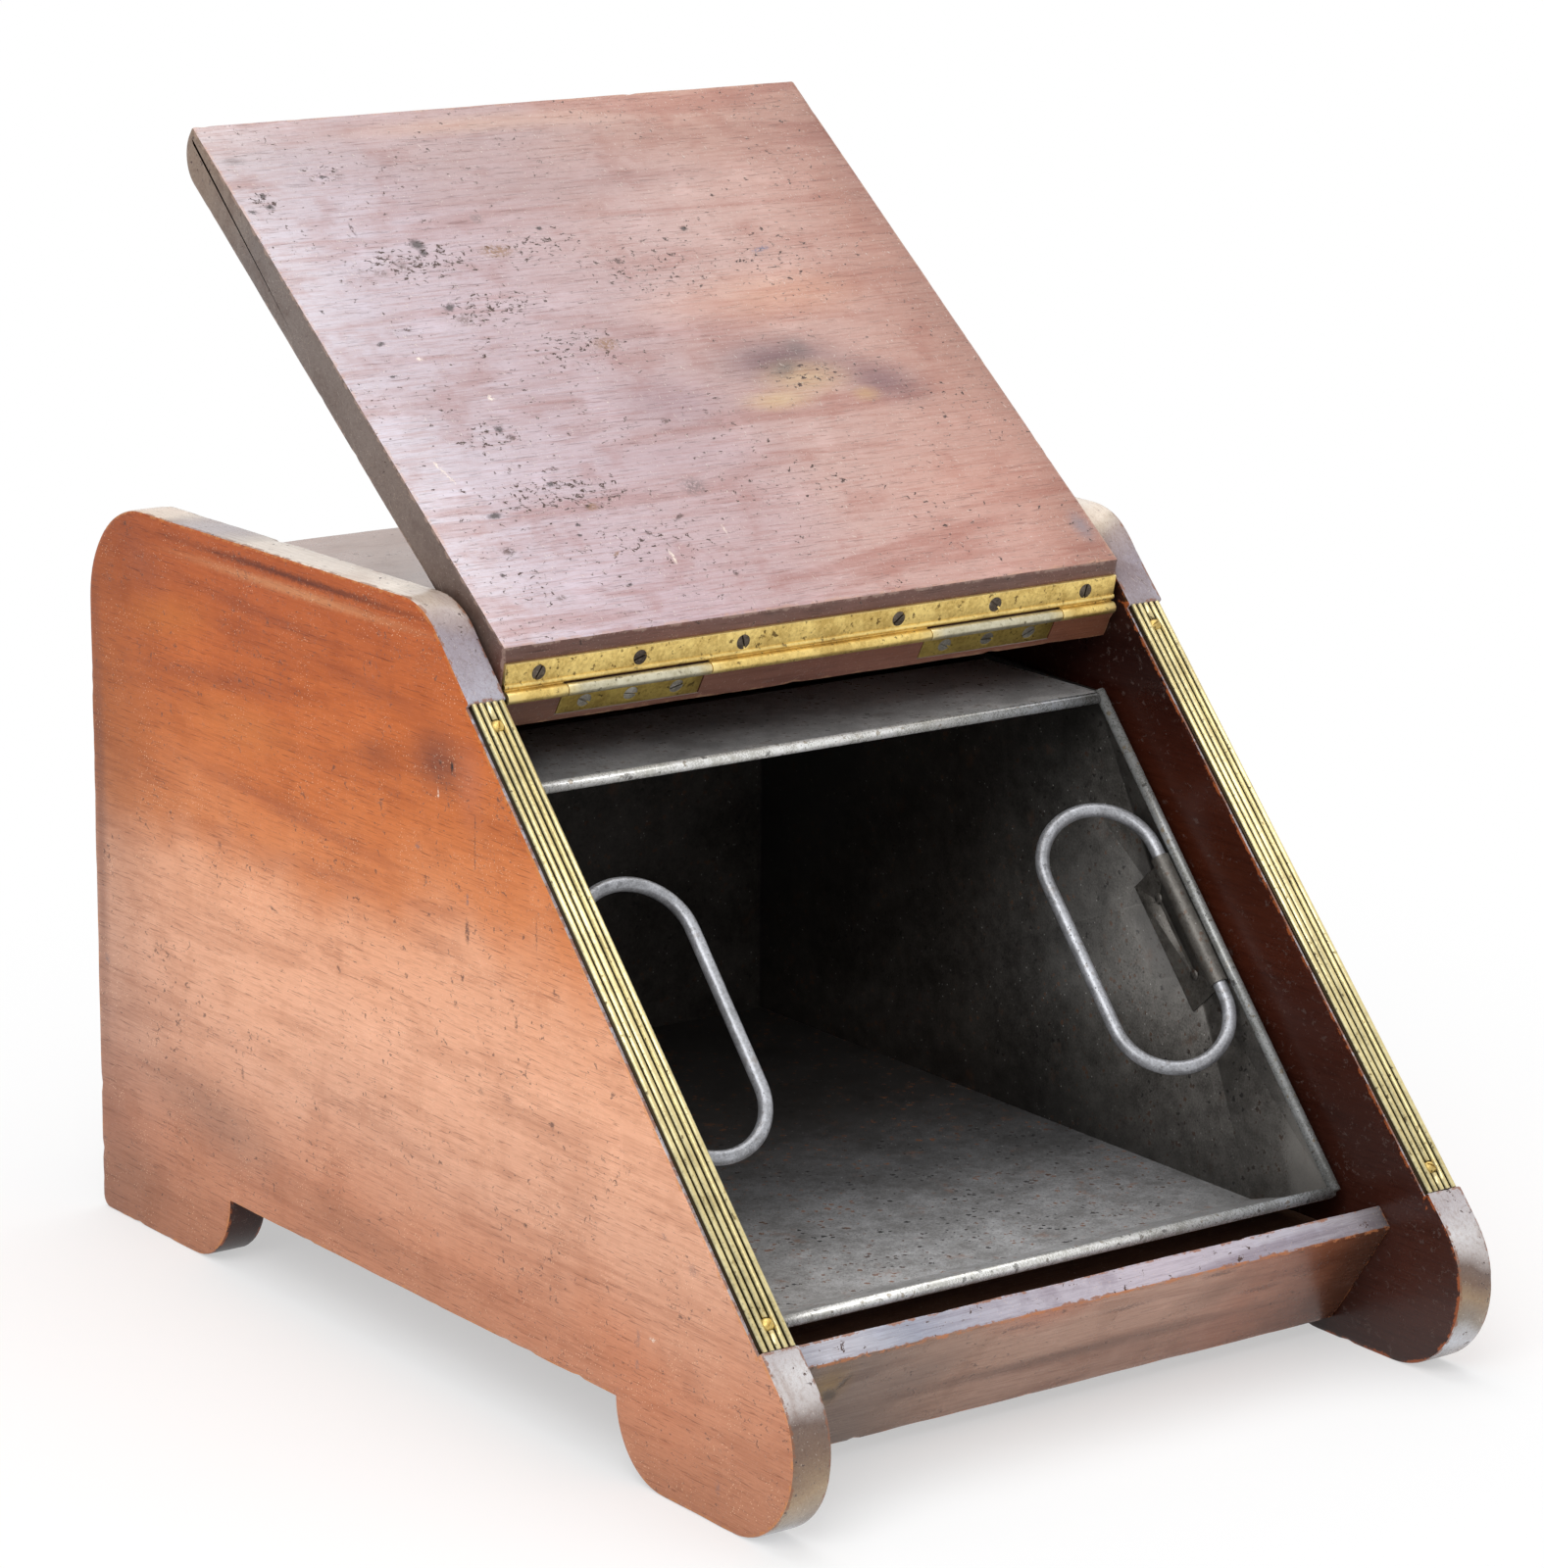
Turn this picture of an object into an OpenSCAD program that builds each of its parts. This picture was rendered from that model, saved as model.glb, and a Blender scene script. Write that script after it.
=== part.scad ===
// Coal scuttle: a slant-fronted mahogany hearth box with a brass-hinged lid,
// a lift-out sheet steel liner and two swinging wire bails.
// Millimetres, +Z up. The slanted mouth faces -Y and the origin lies on the
// floor at the centre of the footprint. The lid is drawn thrown back, open.

/* [Box] */
// Overall width across the two side panels
box_w = 330; // [280:1:400]
// Overall depth from the toes to the rear edges
box_d = 486; // [460:1:540]
// Height of the side panels
side_h = 301; // [285:1:330]
// Thickness of the side panels
side_t = 17; // [14:0.5:20]
// Angle of the slanted front edges above the horizontal
slope_angle = 46.85; // [44:0.05:49]
// Radius of the rounded toe at the bottom of the slant
toe_r = 36.4; // [30:0.1:42]
// Radius of the corner where the slant meets the top edge
brow_r = 30; // [10:1:45]
// Radius of the upper rear corner
rear_r = 43; // [10:1:60]
// Radius of the lower rear corner
heel_r = 5; // [2:0.5:15]

/* [Feet] */
// Height of the arch between the feet
arch_h = 29.4; // [20:0.1:36]
// Length of the front foot, from the toe to the end of its flat
front_foot_l = 79.5; // [60:0.5:110]
// Length of the rear foot, from the heel to the end of its flat
rear_foot_l = 75; // [60:0.5:110]

/* [Boards] */
// Thickness of the top board
top_board_t = 19.2; // [14:0.1:22]
// Drop from the top of the side panels to the top board
top_drop = 29; // [20:0.5:40]
// Inset of the top and back boards from the rear edges
rear_inset = 2.5; // [0:0.5:8]
// Thickness of the back board
back_t = 17; // [12:0.5:20]
// Height of the underside of the bottom board
bottom_z = 30; // [22:0.5:36]
// Thickness of the bottom board
bottom_t = 14.5; // [10:0.5:18]
// Thickness of the front apron
apron_t = 10; // [8:0.5:12]
// Lean of the apron's face from the vertical
apron_lean = 34.4; // [28:0.1:40]
// Depth of the apron's top edge below the slant
apron_depth = 27.3; // [25:0.1:31]
// Distance of the apron's top corner up the slant from the toe
apron_u = 14; // [8:0.5:22]
// Height of the apron's lower edge above the floor
apron_z = 7.6; // [3:0.1:14]

/* [Rail and lid] */
// Depth of the top board's front ridge below the slant
ridge_depth = 9.6; // [9:0.1:11]
// Lean of the top board's front face from the vertical
rail_lean = 30; // [26:0.5:34]
// Thickness of the lid
lid_t = 17.8; // [15:0.1:19]
// Gap between the lid and each side panel
lid_side_gap = 2.2; // [1:0.1:4]
// Distance that the lid's far end reaches past the start of the toe
lid_reach = 2; // [0:0.5:6]
// Radius of the lid's rounded far edge
lid_nose_r = 14; // [6:0.5:15]
// Bevel of the lid's hinged end from square
lid_bevel = 25.4; // [22:0.1:28]
// Gap left where the lid rests on the ridge or on the apron
lid_rest_gap = 0.3; // [0.2:0.05:0.6]

/* [Hinge] */
// Depth of the hinge pin's axis below the slant
pin_depth = 5.9; // [5.6:0.1:6.2]
// Distance of the pin's axis down the slant from the ridge
pin_setback = 11.2; // [10.6:0.1:12]
// Distance of the pin's axis inside the lid's outer face
pin_inset = 1.5; // [1.3:0.1:1.7]
// Radius of the hinge pin
pin_r = 1.2; // [1:0.05:1.4]
// Running clearance round the hinge pin
pin_clear = 0.05; // [0.03:0.01:0.08]
// Outer radius of the hinge knuckles
knuckle_r = 2.4; // [2.2:0.05:2.45]
// Thickness of the hinge leaves
leaf_t = 1.5; // [1.2:0.1:1.8]
// Distance between the pin's axis and the face of each leaf
leaf_face = 1.2; // [1.1:0.05:1.3]
// Width of the long lid leaf, measured from the pin's axis
long_leaf_w = 13; // [11.5:0.5:16]
// Inset of the long leaf's ends from the sides of the lid
leaf_end_inset = 0.9; // [0.5:0.1:2]
// Radius of the swaged bead beside the long leaf's knuckles
bead_r = 1; // [0.8:0.1:1.2]
// Depth of the bead's middle below the face of the leaf
bead_sunk = 0.2; // [0:0.1:0.3]
// Width of the short leaves on the top board, from the pin's axis
short_leaf_w = 13.2; // [12.5:0.1:14.5]
// Length of each short leaf
short_leaf_l = 65; // [58:1:72]
// Distance of each short leaf's middle from the box's centre line
short_leaf_x = 85; // [78:1:92]
// Gap between neighbouring knuckles
knuckle_gap = 0.3; // [0.2:0.05:0.5]
// Clearance round the short leaves in their recesses
recess_clear = 0.3; // [0.1:0.05:0.5]

/* [Screws and rivets] */
// Head radius of the countersunk hinge screws
csk_head_r = 3; // [2.6:0.1:3.2]
// Shank radius of the screws
shank_r = 1.6; // [1.3:0.1:1.8]
// Length of the hinge screws
hinge_screw_l = 11; // [9:0.5:12]
// Clearance round the screws
screw_clear = 0.05; // [0.03:0.01:0.1]
// Distance of the lid leaf's screws from the pin's axis
long_screw_t = 8.2; // [8:0.1:9.4]
// Distance of the short leaves' screws from the pin's axis
short_screw_t = 8.2; // [7.6:0.1:9]
// Spacing of the screws in each short leaf
short_screw_pitch = 21; // [17:0.5:24]
// Places of the lid leaf's screws on either side of the centre line
long_screw_x = [37, 84.5, 130];
// Head radius of the round-headed trim screws
dome_head_r = 2.7; // [2.4:0.1:3]
// Height of the round heads
dome_head_h = 1.9; // [1.4:0.1:2.4]
// Length of the trim screws below their heads
trim_screw_l = 13; // [10:0.5:16]
// Radius of the rivet heads
rivet_head_r = 2.2; // [1.8:0.1:2.6]
// Thickness of the rivet heads
rivet_head_h = 0.4; // [0.3:0.05:0.6]
// Radius of the rivet shanks
rivet_r = 1.2; // [1:0.1:1.5]

/* [Reeded trim] */
// Distance of the trim's lower end up the slant from the toe
trim_u = 14.8; // [10:0.5:24]
// Distance of the trim's upper end from the corner of the slant
trim_top_inset = 45.2; // [40:0.5:60]
// Margin of bare wood outside the trim
trim_margin_out = 1.3; // [0.8:0.1:2]
// Margin of bare wood inside the trim
trim_margin_in = 0.8; // [0.4:0.1:1.5]
// Number of reeds
reeds = 5; // [3:1:7]
// Width of the flat valley between reeds
reed_valley = 0.5; // [0.3:0.1:0.8]
// Thickness of the strip under the reeds
trim_base = 1.3; // [1:0.1:2]
// Distance of each trim screw from the end of its strip
trim_screw_inset = 10; // [8:0.5:14]

/* [Liner] */
// Thickness of the liner's sheet
sheet_t = 1; // [0.8:0.1:1.4]
// Gap between each liner wall and the side panel
liner_side_gap = 6; // [5:0.5:8]
// Gap between the liner's back and the back board
liner_rear_gap = 23; // [15:1:40]
// Gap under the liner's floor
liner_seat_gap = 0.2; // [0.1:0.05:0.5]
// Gap between the top board and the liner's flat hood
hood_gap = 21.2; // [20:0.2:26]
// Length of the flat part of the hood behind the rim
hood_flat_l = 75; // [60:1:78]
// Fall of the rear part of the hood
hood_fall = 15.5; // [15:0.5:20]
// Height of the side seams above the hood
seam_h = 2.2; // [1.5:0.1:3]
// Radius of the wired rim
rim_r = 2.3; // [2:0.1:2.5]
// Notch left between the rims where they meet at the corners
rim_notch = 0.4; // [0.2:0.1:1]
// Height of the rolled rim above the sheet that it edges
rim_proud = 0.3; // [0.1:0.1:0.6]
// Depth of the top rim below the slant
rim_top_depth = 32.3; // [31:0.1:35]
// Depth of the bottom rim below the slant
rim_bottom_depth = 39.4; // [38:0.1:42]
// Height of the bottom rim above the liner's floor
rim_bottom_rise = 17.2; // [16.5:0.1:20]
// Run of the sloping lip from the bottom rim to the floor
lip_run = 48.4; // [46:0.2:50]

/* [Bails] */
// Radius of the bail wire
bail_r = 2.85; // [2.5:0.05:3]
// Length of each loop between wire centres, along the hinge
bail_l = 114; // [100:1:120]
// Depth of each loop between wire centres
bail_d = 48; // [40:1:50]
// Distance of the loops' middle below the top rim, along the rim
bail_down = 99.5; // [94:0.5:106]
// Droop of the right bail from straight inwards
droop_right = 18; // [0:1:24]
// Droop of the left bail from straight inwards
droop_left = -5; // [-8:1:20]
// Running clearance round the wire in its strap
bail_clear = 0.06; // [0.03:0.01:0.09]
// Length of each strap along the wire
strap_l = 57; // [46:1:60]
// Thickness of the strap's sheet
strap_t = 0.9; // [0.7:0.1:1.1]
// Width of the strap's plate below the wire's axis
strap_w = 25; // [20:0.5:30]
// Distance of the rivets below the wire's axis
rivet_drop = 14.5; // [10:0.5:17]
// Spacing of the two rivets along the strap
rivet_pitch = 34.8; // [26:0.2:40]
// Gap between the strap's tube and the rim
strap_rim_gap = 0.25; // [0.2:0.05:0.5]

/* [Hidden] */
$fn = 72;

sides = [-1, 1];
cut = 1;
sin_slope = sin(slope_angle);
cos_slope = cos(slope_angle);
front_y = -box_d / 2;
rear_y = box_d / 2;
half_in = box_w / 2 - side_t;

// The slant: u runs up it from where the toe's round ends, depth runs inwards.
toe = [front_y + toe_r, toe_r];
slope_start = toe + toe_r * [-sin_slope, cos_slope];
slope_l = (side_h - slope_start[1]) / sin_slope;
function slope_point(u, depth) =
    slope_start + u * [cos_slope, sin_slope] + depth * [sin_slope, -cos_slope];
function slope_u_at(z, depth) =
    (z - slope_start[1] + depth * cos_slope) / sin_slope;
brow_tangent = brow_r * tan(slope_angle / 2);
brow_corner = slope_point(slope_l, 0);

// Boards
board_rear_y = rear_y - rear_inset;
top_z = side_h - top_drop;
top_under_z = top_z - top_board_t;
back_front_y = board_rear_y - back_t;
bottom_top_z = bottom_z + bottom_t;
apron_top = slope_point(apron_u, apron_depth);
apron_down = [sin(apron_lean), -cos(apron_lean)];
apron_in = [cos(apron_lean), sin(apron_lean)];
apron_edge_l = apron_t / sin(90 - apron_lean + slope_angle);
apron_inner_top = slope_point(apron_u + apron_edge_l, apron_depth);
apron_back_top = apron_top + apron_t * apron_in;
function apron_back_y(z) =
    apron_back_top[0] + (apron_back_top[1] - z) * tan(apron_lean);
function apron_front_y(z) =
    apron_top[0] + (apron_top[1] - z) * tan(apron_lean);

// Hinge axis and the top board's front face, which carries the short leaves
ridge_u = slope_u_at(top_z, ridge_depth);
pin_u = ridge_u - pin_setback;
pin = slope_point(pin_u, pin_depth);
rail_turn = slope_angle - rail_lean;
rail_face_t = (ridge_depth - pin_depth - leaf_face * sin(rail_turn)) / cos(rail_turn);
rail_down = [sin(rail_lean), -cos(rail_lean)];
rail_in = [cos(rail_lean), sin(rail_lean)];
rail_foot_t = (pin[1] + leaf_face * rail_in[1] - top_under_z) / cos(rail_lean);
function rail_point(t) = pin + leaf_face * rail_in + t * rail_down;

// Lid: a runs along it from the pin, b from the outer to the inner face
lid_half = half_in - lid_side_gap;
lid_far = pin_u + lid_reach;
lid_face = leaf_face + leaf_t;
lid_inner_b = lid_t - pin_inset;
function lid_end_a(b) = (lid_face + b * sin(lid_bevel)) / cos(lid_bevel);
ridge_distance = norm([pin_setback, ridge_depth - pin_depth]);
open_angle = slope_angle - atan((ridge_depth - pin_depth) / pin_setback)
    + asin((pin_inset + lid_rest_gap) / ridge_distance);
apron_distance = norm([pin_u - apron_u, apron_depth - pin_depth]);
closed_extra = atan((apron_depth - pin_depth) / (pin_u - apron_u))
    - asin((lid_inner_b + lid_rest_gap) / apron_distance);
lid_travel = 180 + slope_angle - open_angle + closed_extra;

// Hinge leaves
leaf_half = lid_half - leaf_end_inset;
leaf_root = (pin_r + pin_clear + knuckle_r) / 2;
leaf_start = knuckle_r + knuckle_gap;
bead_t = leaf_start + bead_r + knuckle_gap;
web_t = knuckle_r - leaf_face - knuckle_gap;
short_inner_x = short_leaf_x - short_leaf_l / 2;
short_outer_x = short_leaf_x + short_leaf_l / 2;

// Reeded trim
trim_w = side_t - trim_margin_out - trim_margin_in;
trim_l = slope_l - trim_top_inset - trim_u;
reed_pitch = trim_w / reeds;
reed_r = (reed_pitch - reed_valley) / 2;
trim_h = trim_base + reed_r;
trim_mid_x = half_in + trim_margin_in + trim_w / 2;

// Liner
liner_out = half_in - liner_side_gap;
liner_in = liner_out - sheet_t;
liner_z = bottom_top_z + liner_seat_gap;
liner_back_y = back_front_y - liner_rear_gap;
hood_z = top_under_z - hood_gap;
rim_top_z = hood_z - rim_r + rim_proud;
rim_top = slope_point(slope_u_at(rim_top_z, rim_top_depth), rim_top_depth);
rim_bottom_z = liner_z + rim_bottom_rise;
rim_bottom = slope_point(slope_u_at(rim_bottom_z, rim_bottom_depth), rim_bottom_depth);
rim_rise = rim_top - rim_bottom;
rim_angle = atan2(rim_rise[1], rim_rise[0]);
rim_l = norm(rim_rise) + seam_h / sin(rim_angle);
rim_x = liner_out - sheet_t / 2;
rim_end_x = rim_x - rim_r - rim_notch;
wall_brow = rim_bottom + rim_l * [cos(rim_angle), sin(rim_angle)];
hood_bend_y = rim_top[0] + hood_flat_l;
hood_back_z = hood_z - (liner_back_y - hood_bend_y) * tan(hood_fall);
hood_sheet_z = sheet_t / cos(hood_fall);
lip_back_y = rim_bottom[0] + lip_run;
lip_front = rim_bottom - [0, rim_r - rim_proud];

// Bails and their straps, in a frame laid along the rim
strap_r = bail_r + bail_clear + strap_t;
bail_x = liner_in - strap_r;
bail_drop = sqrt(pow(strap_r + rim_r + strap_rim_gap, 2) - pow(rim_x - bail_x, 2));
bail_u = norm(rim_rise) - bail_down;
bail_end_r = bail_d / 2;
bail_straight = bail_l - bail_d;

// Draws a profile given as [y, z] across the box, centred on x = 0.
module across(w) {
    rotate([90, 0, 90]) linear_extrude(height = w, center = true) children();
}

// Frame on the slant: y up the slant, z outwards.
module on_slope() {
    translate([0, slope_start[0], slope_start[1]]) rotate([slope_angle, 0, 0]) children();
}

// Frame on the rim: y up the rim from its bottom corner, z outwards.
module on_rim() {
    translate([0, rim_bottom[0], rim_bottom[1]]) rotate([rim_angle, 0, 0]) children();
}

// Frame of the open lid: y along it from the pin, z towards its inner face.
module on_lid() {
    translate([0, pin[0], pin[1]]) rotate([open_angle, 0, 0]) children();
}

// Frame of the lid's hinged end: y away from the pin, z into the wood.
module on_lid_end() {
    on_lid() rotate([90 - lid_bevel, 0, 0]) mirror([0, 0, 1]) children();
}

// Frame of the top board's front face: y down from the pin, z into the wood.
module on_rail() {
    translate([0, pin[0], pin[1]]) rotate([rail_lean - 90, 0, 0]) children();
}

module countersunk(l, clear) {
    cylinder(h = csk_head_r - shank_r, r1 = csk_head_r + clear, r2 = shank_r + clear);
    cylinder(h = l, r = shank_r + clear);
}

module long_leaf_screw_set(clear) {
    for (side = sides)
        for (x = long_screw_x)
            on_lid_end()
                translate([side * x, long_screw_t, leaf_face])
                    countersunk(hinge_screw_l + clear, clear);
}

module short_leaf_screw_set(clear) {
    for (side = sides)
        for (i = [-1, 0, 1])
            on_rail()
                translate([side * (short_leaf_x + i * short_screw_pitch), short_screw_t, leaf_face])
                    countersunk(hinge_screw_l + clear, clear);
}

module at_trim_screws() {
    for (side = sides)
        for (u = [trim_u + trim_screw_inset, trim_u + trim_l - trim_screw_inset])
            on_slope()
                translate([side * trim_mid_x, u, trim_base - trim_h])
                    children();
}

module side_outline() {
    difference() {
        union() {
            polygon([[toe[0], 0], [rear_y - heel_r, 0], [rear_y, heel_r],
                     [rear_y, side_h - rear_r], [rear_y - rear_r, side_h],
                     brow_corner + [brow_tangent, 0],
                     slope_point(slope_l - brow_tangent, 0), slope_start, toe]);
            translate(toe) circle(r = toe_r);
            translate([rear_y - heel_r, heel_r]) circle(r = heel_r);
            translate([rear_y - rear_r, side_h - rear_r]) circle(r = rear_r);
            translate(brow_corner + [brow_tangent, -brow_r]) circle(r = brow_r);
        }
        difference() {
            translate([front_y + front_foot_l, -cut])
                square([box_d - front_foot_l - rear_foot_l, arch_h + cut]);
            translate([front_y + front_foot_l, arch_h]) circle(r = arch_h);
            translate([rear_y - rear_foot_l, arch_h]) circle(r = arch_h);
        }
        translate(slope_start) rotate(slope_angle)
            translate([trim_u, -trim_h]) square([trim_l, trim_h + cut]);
    }
}

module side_panel(side) {
    color("sienna") difference() {
        translate([side * (box_w - side_t) / 2, 0, 0]) across(side_t) side_outline();
        at_trim_screws()
            translate([0, 0, -trim_screw_l]) cylinder(h = trim_screw_l, r = shank_r + screw_clear);
    }
}

module left_side() {
    side_panel(-1);
}

module right_side() {
    side_panel(1);
}

module back_board() {
    color("saddlebrown") across(2 * half_in)
        translate([back_front_y, bottom_z]) square([back_t, top_under_z - bottom_z]);
}

module top_board() {
    ridge = slope_point(ridge_u, ridge_depth);
    color("saddlebrown") difference() {
        across(2 * half_in)
            polygon([ridge, rail_point(rail_face_t), rail_point(rail_foot_t),
                     [board_rear_y, top_under_z], [board_rear_y, top_z]]);
        for (side = sides)
            on_rail()
                translate([side * short_leaf_x - short_leaf_l / 2 - recess_clear, 0, 0])
                    cube([short_leaf_l + 2 * recess_clear, short_leaf_w + recess_clear, lid_face]);
        short_leaf_screw_set(screw_clear);
    }
}

module bottom_board() {
    color("saddlebrown") across(2 * half_in)
        polygon([[apron_back_y(bottom_z), bottom_z], [back_front_y, bottom_z],
                 [back_front_y, bottom_top_z], [apron_back_y(bottom_top_z), bottom_top_z]]);
}

module front_apron() {
    color("saddlebrown") across(2 * half_in)
        polygon([apron_top, [apron_front_y(apron_z), apron_z],
                 [apron_back_y(apron_z), apron_z], apron_inner_top]);
}

module reeded_profile() {
    translate([-trim_w / 2, 0]) square([trim_w, trim_base]);
    intersection() {
        for (i = [0 : reeds - 1])
            translate([(i - (reeds - 1) / 2) * reed_pitch, trim_base]) circle(r = reed_r);
        translate([-trim_w / 2, 0]) square([trim_w, trim_h]);
    }
}

module trim_strip(side) {
    color("goldenrod") difference() {
        on_slope() translate([side * trim_mid_x, trim_u + trim_l, -trim_h])
            rotate([90, 0, 0]) linear_extrude(height = trim_l) reeded_profile();
        at_trim_screws() {
            cylinder(h = trim_h, r = dome_head_r + screw_clear);
            translate([0, 0, -trim_base - cut])
                cylinder(h = trim_base + 2 * cut, r = shank_r + screw_clear);
        }
    }
}

module left_trim_strip() {
    trim_strip(-1);
}

module right_trim_strip() {
    trim_strip(1);
}

module trim_screws() {
    dome_r = (dome_head_r * dome_head_r + dome_head_h * dome_head_h) / (2 * dome_head_h);
    color("gold") at_trim_screws() {
        intersection() {
            translate([0, 0, dome_head_h - dome_r]) sphere(r = dome_r);
            cylinder(h = dome_head_h, r = dome_head_r);
        }
        translate([0, 0, -trim_screw_l]) cylinder(h = trim_screw_l, r = shank_r);
    }
}

module knuckle(x0, x1) {
    translate([x0, pin[0], pin[1]]) rotate([0, 90, 0]) cylinder(h = x1 - x0, r = knuckle_r);
}

module pin_bore() {
    translate([-half_in, pin[0], pin[1]]) rotate([0, 90, 0])
        cylinder(h = 2 * half_in, r = pin_r + pin_clear);
}

module short_leaf(side) {
    plate_l = short_leaf_l - 2 * knuckle_gap;
    color("darkkhaki") difference() {
        union() {
            on_rail() translate([side * short_leaf_x - plate_l / 2, leaf_root, leaf_face])
                cube([plate_l, short_leaf_w - leaf_root, leaf_t]);
            knuckle(side * short_leaf_x - short_leaf_l / 2, side * short_leaf_x + short_leaf_l / 2);
        }
        pin_bore();
        short_leaf_screw_set(screw_clear);
    }
}

module left_short_leaf() {
    short_leaf(-1);
}

module right_short_leaf() {
    short_leaf(1);
}

module short_leaf_screws() {
    color("silver") short_leaf_screw_set(0);
}

module lid_board() {
    color("brown") difference() {
        on_lid() across(2 * lid_half) {
            polygon([[lid_end_a(-pin_inset), -pin_inset], [lid_far - lid_nose_r, -pin_inset],
                     [lid_far, lid_nose_r - pin_inset], [lid_far, lid_inner_b],
                     [lid_end_a(lid_inner_b), lid_inner_b]]);
            intersection() {
                translate([lid_far - lid_nose_r, lid_nose_r - pin_inset]) circle(r = lid_nose_r);
                translate([0, -pin_inset]) square([lid_far, lid_t]);
            }
        }
        long_leaf_screw_set(screw_clear);
    }
}

module long_leaf() {
    spans = [[knuckle_gap - leaf_half, -short_outer_x - knuckle_gap],
             [-short_inner_x + knuckle_gap, short_inner_x - knuckle_gap],
             [short_outer_x + knuckle_gap, leaf_half - knuckle_gap]];
    color("goldenrod") difference() {
        union() {
            on_lid_end() translate([-leaf_half, leaf_start, leaf_face])
                cube([2 * leaf_half, long_leaf_w - leaf_start, leaf_t]);
            on_lid_end() translate([-leaf_half, bead_t, leaf_face + bead_sunk]) rotate([0, 90, 0])
                cylinder(h = 2 * leaf_half, r = bead_r);
            for (span = spans) {
                knuckle(span[0], span[1]);
                on_lid_end() translate([span[0] + knuckle_gap, leaf_root, leaf_face])
                    cube([span[1] - span[0] - 2 * knuckle_gap, leaf_start - leaf_root, web_t]);
            }
        }
        pin_bore();
        long_leaf_screw_set(screw_clear);
    }
}

module hinge_pin() {
    color("gray") translate([-leaf_half, pin[0], pin[1]]) rotate([0, 90, 0])
        cylinder(h = 2 * leaf_half, r = pin_r);
}

module long_leaf_screws() {
    color("dimgray") long_leaf_screw_set(0);
}

module side_rim(side) {
    on_rim() translate([side * rim_x, 0, 0]) rotate([-90, 0, 0])
        cylinder(h = rim_l, r = rim_r);
}

module liner_wall(side) {
    color("darkslategray") difference() {
        union() {
            translate([side * (liner_out - sheet_t / 2), 0, 0]) across(sheet_t)
                polygon([rim_bottom, lip_front, [lip_back_y, liner_z],
                         [liner_back_y, liner_z], [liner_back_y, hood_back_z + seam_h],
                         [hood_bend_y, hood_z + seam_h], wall_brow]);
            side_rim(side);
        }
        rivet_set(screw_clear);
    }
}

module liner_left_wall() {
    liner_wall(-1);
}

module liner_right_wall() {
    liner_wall(1);
}

module cross_rim(place) {
    translate([-rim_end_x, place[0], place[1]]) rotate([0, 90, 0])
        cylinder(h = 2 * rim_end_x, r = rim_r);
}

module liner_hood() {
    color("dimgray") {
        difference() {
            across(2 * liner_in)
                polygon([[rim_top[0], hood_z], [hood_bend_y, hood_z],
                         [liner_back_y, hood_back_z], [liner_back_y, hood_back_z - hood_sheet_z],
                         [hood_bend_y, hood_z - sheet_t], [rim_top[0], hood_z - sheet_t]]);
            for (side = sides)
                side_rim(side);
        }
        cross_rim(rim_top);
    }
}

module liner_back() {
    color("dimgray") across(2 * liner_in)
        translate([liner_back_y - sheet_t, liner_z + sheet_t])
            square([sheet_t, hood_back_z - hood_sheet_z - liner_z - sheet_t]);
}

module liner_floor() {
    color("slategray") across(2 * liner_in)
        translate([lip_back_y, liner_z]) square([liner_back_y - lip_back_y, sheet_t]);
}

module liner_lip() {
    color("slategray") {
        difference() {
            across(2 * liner_in)
                polygon([[lip_back_y, liner_z], [lip_back_y, liner_z + sheet_t],
                         lip_front + [0, sheet_t], lip_front]);
            for (side = sides)
                side_rim(side);
        }
        cross_rim(rim_bottom);
    }
}

// Frame on a bail's hinge axis: y along the axis, x across the box.
module at_bail(side) {
    on_rim() translate([side * bail_x, bail_u, -bail_drop]) children();
}

module rivet_set(clear) {
    for (side = sides)
        for (end = sides)
            at_bail(side) translate([side * strap_r, end * rivet_pitch / 2, -rivet_drop])
                rotate([0, -side * 90, 0]) {
                    translate([0, 0, -sheet_t]) cylinder(h = sheet_t + strap_t, r = rivet_r + clear);
                    children();
                }
}

module bail_strap(side) {
    color("dimgray") difference() {
        at_bail(side) {
            rotate([90, 0, 0]) cylinder(h = strap_l, r = strap_r, center = true);
            translate([side > 0 ? strap_r - strap_t : -strap_r, -strap_l / 2, -strap_w])
                cube([strap_t, strap_l, strap_w]);
        }
        at_bail(side) rotate([90, 0, 0])
            cylinder(h = strap_l + 2 * cut, r = bail_r + bail_clear, center = true);
        rivet_set(screw_clear);
    }
}

module left_strap() {
    bail_strap(-1);
}

module right_strap() {
    bail_strap(1);
}

module strap_rivets() {
    color("gray") rivet_set(0) {
        translate([0, 0, strap_t]) cylinder(h = rivet_head_h, r = rivet_head_r);
        translate([0, 0, -sheet_t - rivet_head_h]) cylinder(h = rivet_head_h, r = rivet_head_r);
    }
}

module bail(side, droop) {
    color("lightgray") at_bail(side) rotate([0, -side * droop, 0]) {
        for (x = [0, -side * bail_d])
            translate([x, 0, 0]) rotate([90, 0, 0])
                cylinder(h = bail_straight, r = bail_r, center = true);
        for (end = [0, 180])
            translate([-side * bail_end_r, end == 0 ? bail_straight / 2 : -bail_straight / 2, 0])
                rotate([0, 0, end]) rotate_extrude(angle = 180)
                    translate([bail_end_r, 0]) circle(r = bail_r);
    }
}

module left_bail() {
    bail(-1, droop_left);
}

module right_bail() {
    bail(1, droop_right);
}

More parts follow.
